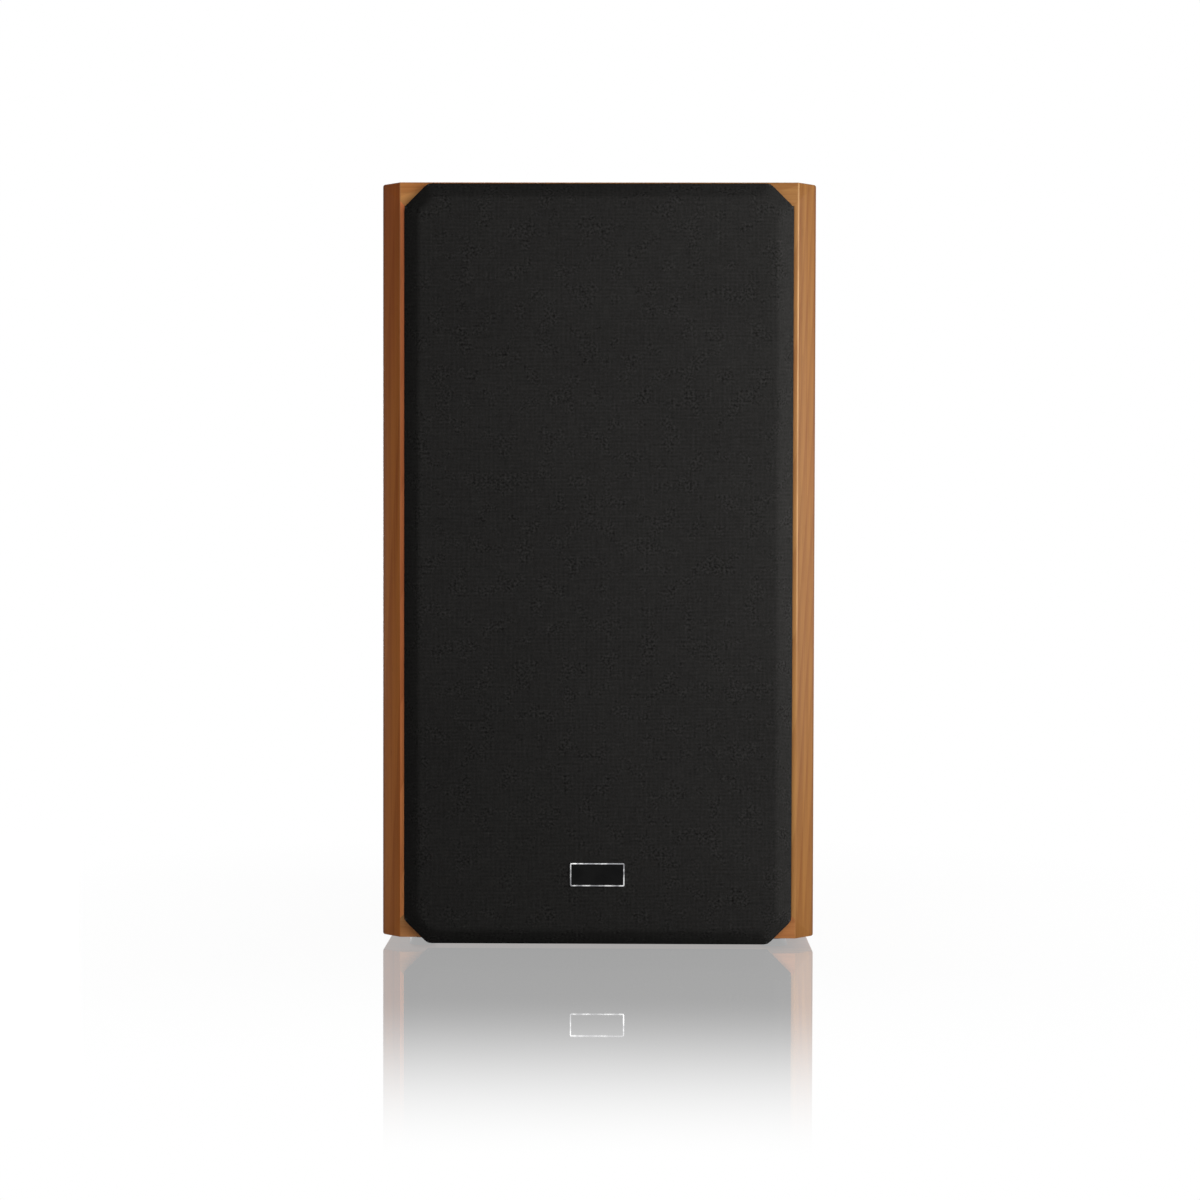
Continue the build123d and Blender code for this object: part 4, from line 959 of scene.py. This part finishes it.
# %% [markdown]
# ## Cones and dust caps
#
# A cone is pressed from wet paper pulp. Rings pressed into it keep it from buckling, and its edge
# turns flat where the surround is glued on. The dust cap is a shallow dome on a narrow skirt that
# closes the hole over the coil. All of it is lathe work, with the outline given in millimetres from
# the driver's axis and from the face of the board that it is screwed to.

# %% Cones and caps
driver_up = {"woofer": 195.0, "midrange": 396.0, "tweeter": 522.0}


def turn_piece(driver, part, made, outline, thickness, steps, finish=cone_paper,
               moves=True):
    """A piece off the lathe that stands for the plain one and, mostly, moves with the coil."""
    bm = on_lathe(outline, thickness, driver_up[driver], steps)
    body = driver + "_motion" if moves else None
    return make_piece(f"{driver}_{part}_{made}", bm, body, finish, [f"{driver}_{part}"])


def cone_outline(edge, lip, level, coil, depth, rings, ring_wide, ring_high):
    """From the flat lip down to the coil, with pressed rings at the given radii."""
    slope = depth / (edge - coil)
    outline = [(lip, level), (edge, level)]
    for radius in rings:
        for r, lift in arc(radius + ring_wide / 2, radius - ring_wide / 2, 0.0, ring_high, 6):
            outline.append((r, level - (edge - r) * slope + lift))
    return outline + [(coil, level - depth)]


def cap_outline(radius, height, base, skirt, segments=14):
    """A shallow dome on a flat skirt, from the pole outwards."""
    dome = radius - skirt
    ball = (dome**2 + height**2) / (2 * height)
    reach = math.asin(dome / ball)
    turns = [reach * i / segments for i in range(segments + 1)]
    points = [(ball * math.sin(a), base + height - ball * (1 - math.cos(a))) for a in turns]
    return points + [(radius, base - 0.3 * skirt)]


woofer_cone = cone_outline(edge=84.9, lip=88.1, level=-2.0, coil=25.5, depth=40.0,
                           rings=(76.0, 66.0, 56.0), ring_wide=4.5, ring_high=1.5)
midrange_cone = cone_outline(edge=39.9, lip=42.1, level=-1.5, coil=13.0, depth=19.0,
                             rings=(34.5, 28.5), ring_wide=2.6, ring_high=0.9)
woofer_cap = cap_outline(radius=34.0, height=10.0, base=-34.6, skirt=2.4)
midrange_cap = cap_outline(radius=17.0, height=5.4, base=-16.3, skirt=1.4)
dome = cap_outline(radius=13.0, height=5.2, base=-2.3, skirt=0.4, segments=18)
turn_piece("woofer", "cone", "pressed", woofer_cone, thickness=1.2, steps=128)
turn_piece("midrange", "cone", "pressed", midrange_cone, thickness=0.8, steps=96)
turn_piece("woofer", "dust_cap", "felted", woofer_cap, thickness=0.8, steps=96)
turn_piece("midrange", "dust_cap", "felted", midrange_cap, thickness=0.7, steps=72)
turn_piece("tweeter", "dome", "silk", dome, 0.35, 72, dome_silk)

# %% [markdown]
# ## Surrounds and spiders
#
# These soft rings are glued to the still basket outside and to the moving cone inside, so they bend
# between the two when the cone travels. Here they are made at rest and ride on neither body; for each
# point a share is worked out from its distance to the driver's axis, but it is not kept.

# %% Soft rings
roll_proud = 0.02
glue_gap = 0.2
coil_land = 2.5
rim_land = 6.0
wave_height = 0.42        # for each mm of an arc's width


def bend_across(piece, driver, inner, outer):
    """Bakes the ring's place into its mesh and works out, point by point, a share from 0 inside the inner
    radius to 1 outside the outer one; the share is not kept.
    """
    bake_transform(piece)
    centre = front @ Vector((0.0, driver_up[driver] * mm, 0.0))
    for vertex in piece.data.vertices:
        reach = math.hypot(vertex.co.x - centre.x, vertex.co.z - centre.z) / mm
        t = min(1.0, max(0.0, (reach - inner) / (outer - inner)))
        t * t * (3 - 2 * t)


def make_surround(driver, radii, level, thickness, finish):
    """A flat land on the cone, a half-round roll, and a flat land on the basket."""
    inner_edge, inner, outer, outer_edge = radii
    top = level + thickness
    bump = arc(inner, outer, top, (outer - inner) / 2 + roll_proud, 20)
    outline = [(inner_edge, top), *bump, (outer_edge, top)]
    ring = turn_piece(driver, "surround", "moulded", outline, thickness, 128, finish, moves=False)
    bend_across(ring, driver, inner, outer)


soft_rubber = finishes["soft_rubber"]
make_surround("woofer", (84.9, 88.4, 103.4, 110.2), -2.0, 1.0, soft_rubber)
make_surround("midrange", (39.9, 42.4, 49.2, 53.7), -1.5, 0.7, soft_rubber)
make_surround("tweeter", (12.3, 13.3, 17.1, 21.5), -3.0, 0.4, dome_silk)


def make_spider(driver, coil, rim, depth, waves, thickness):
    """Arcs up and down by turns between a land on the coil and a land on the basket."""
    start, end = coil + glue_gap + coil_land, rim - rim_land
    width = (end - start) / (2 * waves)
    top = thickness - depth
    outline = [(coil + glue_gap, top), (start, top)]
    for i in range(2 * waves):
        inner = start + i * width
        bump = arc(inner, inner + width, top, width * wave_height * (-1) ** i, 6)
        outline += bump[1:]
    outline.append((rim, top))
    ring = turn_piece(driver, "spider", "pressed", outline, thickness, 96,
                      spider_cloth, moves=False)
    bend_across(ring, driver, start, end)


make_spider("woofer", coil=25.5, rim=65.0, depth=50.0, waves=4, thickness=0.6)
make_spider("midrange", coil=13.0, rim=34.0, depth=24.0, waves=3, thickness=0.5)

# %% [markdown]
# ## Wadding
#
# White polyester fill is stapled to the inside of the cabinet, to soak up sound. A pad of it lies
# flat against the wall and swells towards the room in soft lumps. Each pad starts as a block, is cut
# fine, and its points are pushed in by a smooth noise that fades out at the wall.

# %% Wadding
pad_thickness = 24.0
wall_x, wall_top = 156.2, 590.7
pad_back, pad_front = -247.7, -37.3
side_pads = {"lower": (19.3, 307.7), "upper": (323.3, 566.4)}
pad_rounding = 7.0
pad_cuts = 34
pad_sink, lump_sink = 2.2, 3.0
big_lumps, small_lumps = 38.0, 95.0      # per metre


def make_fill():
    fill = Finish("polyester_fill", specular_ior_level=0.1, sheen_weight=0.4, sheen_roughness=0.5)
    tangle = fill.fibres((420, 420, 110), ((0.3, 0.9, 0.0), (1.2, -0.7, 0.0), (-0.8, 0.1, 0.6)), 3.0)
    clouds = fill.noise(fill.place, 45.0, 3.0)
    # The fill is greyer where its relief is low: painted shade in the hollows among the fibres.
    light = tangle.between(0.35, 0.75) * 0.6 + clouds * 0.4
    colour = fill.mix(light, (0.6, 0.59, 0.56), (0.86, 0.86, 0.84))
    return fill.surface(colour, 0.9 + clouds * 0.1, tangle + clouds, 0.8 * mm, 0.7)


polyester_fill = make_fill()


def make_pad(name, low, high, across):
    """A lumpy pad; across is the axis, in the front's own frame, that points away from its wall."""
    low, high = Vector(low) * mm, Vector(high) * mm
    bm = block(low, high)
    round_edges(bm, bm.edges[:], pad_rounding * mm, 3)
    long_edges = [e for e in bm.edges if e.calc_length() > 2 * pad_rounding * mm]
    bmesh.ops.subdivide_edges(bm, edges=long_edges, cuts=pad_cuts, use_grid_fill=True)
    wall = low[across] if (low + high)[across] < 0 else high[across]
    for vertex in bm.verts:
        away = abs(vertex.co[across] - wall) / (pad_thickness * mm)
        lumps = noise.noise(vertex.co * big_lumps) * 0.6 + noise.noise(vertex.co * small_lumps) * 0.3
        sink = away * (pad_sink + lump_sink * lumps) * mm
        vertex.co[across] += math.copysign(max(0.0, sink), wall - vertex.co[across])
    bmesh.ops.transform(bm, matrix=front, verts=bm.verts[:])
    bm.normal_update()
    pad = make_piece("wadding_" + name, bm, "cabinet", polyester_fill, ["damping_wadding"],
                     80.0)


for side, sign in (("left", -1), ("right", 1)):
    low_x, high_x = sorted((sign * wall_x, sign * (wall_x - pad_thickness)))
    for level, (bottom, top) in side_pads.items():
        make_pad(f"{side}_{level}", (low_x, bottom, pad_back), (high_x, top, pad_front), 0)
make_pad("top", (-wall_x, wall_top - pad_thickness, pad_back), (wall_x, wall_top, pad_front), 1)

# %% [markdown]
# ## Cables inside
#
# Five short cables run from the board at the bottom: one to each driver and two to the terminals
# behind. They are soldered at both ends and hang in easy curves between. Each is a smooth curve, a
# NURBS spline, with the points of its route as control points and a round section given by its
# bevel.

# %% Cables
cable_radius = 2.0
cable_routes = {
    # name: length in metres, and its route in mm, across, up and out
    "woofer": (0.277, [
        (-26, 25, -196), (-26, 53, -196), (-50, 92, -172), (-86, 132, -134), (-112, 180, -88),
        (-94.6, 195, -61), (-63.6, 195, -61)]),
    "midrange": (0.413, [
        (-4, 25, -188), (-4, 59, -188), (6, 110, -172), (10, 165, -158), (6, 222, -142),
        (-2, 280, -138), (2, 334, -124), (1, 378, -110), (0, 396, -86.1), (0, 396, -66.1)]),
    "tweeter": (0.578, [
        (24, 25, -190), (24, 59, -190), (40, 110, -176), (52, 166, -160), (60, 224, -156),
        (66, 282, -146), (74, 338, -136), (84, 392, -112), (74, 442, -88), (46, 484, -72),
        (12, 510, -60), (0, 522, -42.6), (0, 522, -22.6)]),
    "post_black": (0.154, [
        (-9.5, 150, -243.5), (-9.5, 150, -223.5), (-9.5, 141, -207.5), (-10.5, 114, -199.5),
        (-10.5, 76, -201.5), (-9.5, 49, -202.5), (-9.5, 25, -202.5)]),
    "post_red": (0.154, [
        (9.5, 150, -243.5), (9.5, 150, -223.5), (9.5, 141, -207.5), (10.5, 114, -199.5),
        (10.5, 76, -201.5), (9.5, 49, -202.5), (9.5, 25, -202.5)]),
}


def make_cable(name, route):
    curve = bpy.data.curves.new("cable_" + name, "CURVE")
    curve.dimensions = "3D"
    curve.bevel_depth = cable_radius * mm
    curve.bevel_resolution = 4
    curve.resolution_u = 8
    curve.use_fill_caps = True
    spline = curve.splines.new("NURBS")
    spline.points.add(len(route) - 1)
    for point, place in zip(spline.points, route):
        point.co = (*(front @ (Vector(place) * mm)), 1.0)
    spline.order_u = 3
    spline.use_endpoint_u = True
    curve.materials.append(finishes["cable_jacket"])
    cable = add_object("cable_" + name, curve)
    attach(cable, "cabinet")
    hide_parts("internal_cables")


for name, (length, route) in cable_routes.items():
    make_cable(name, route)
print(len(cable_routes), "cables")
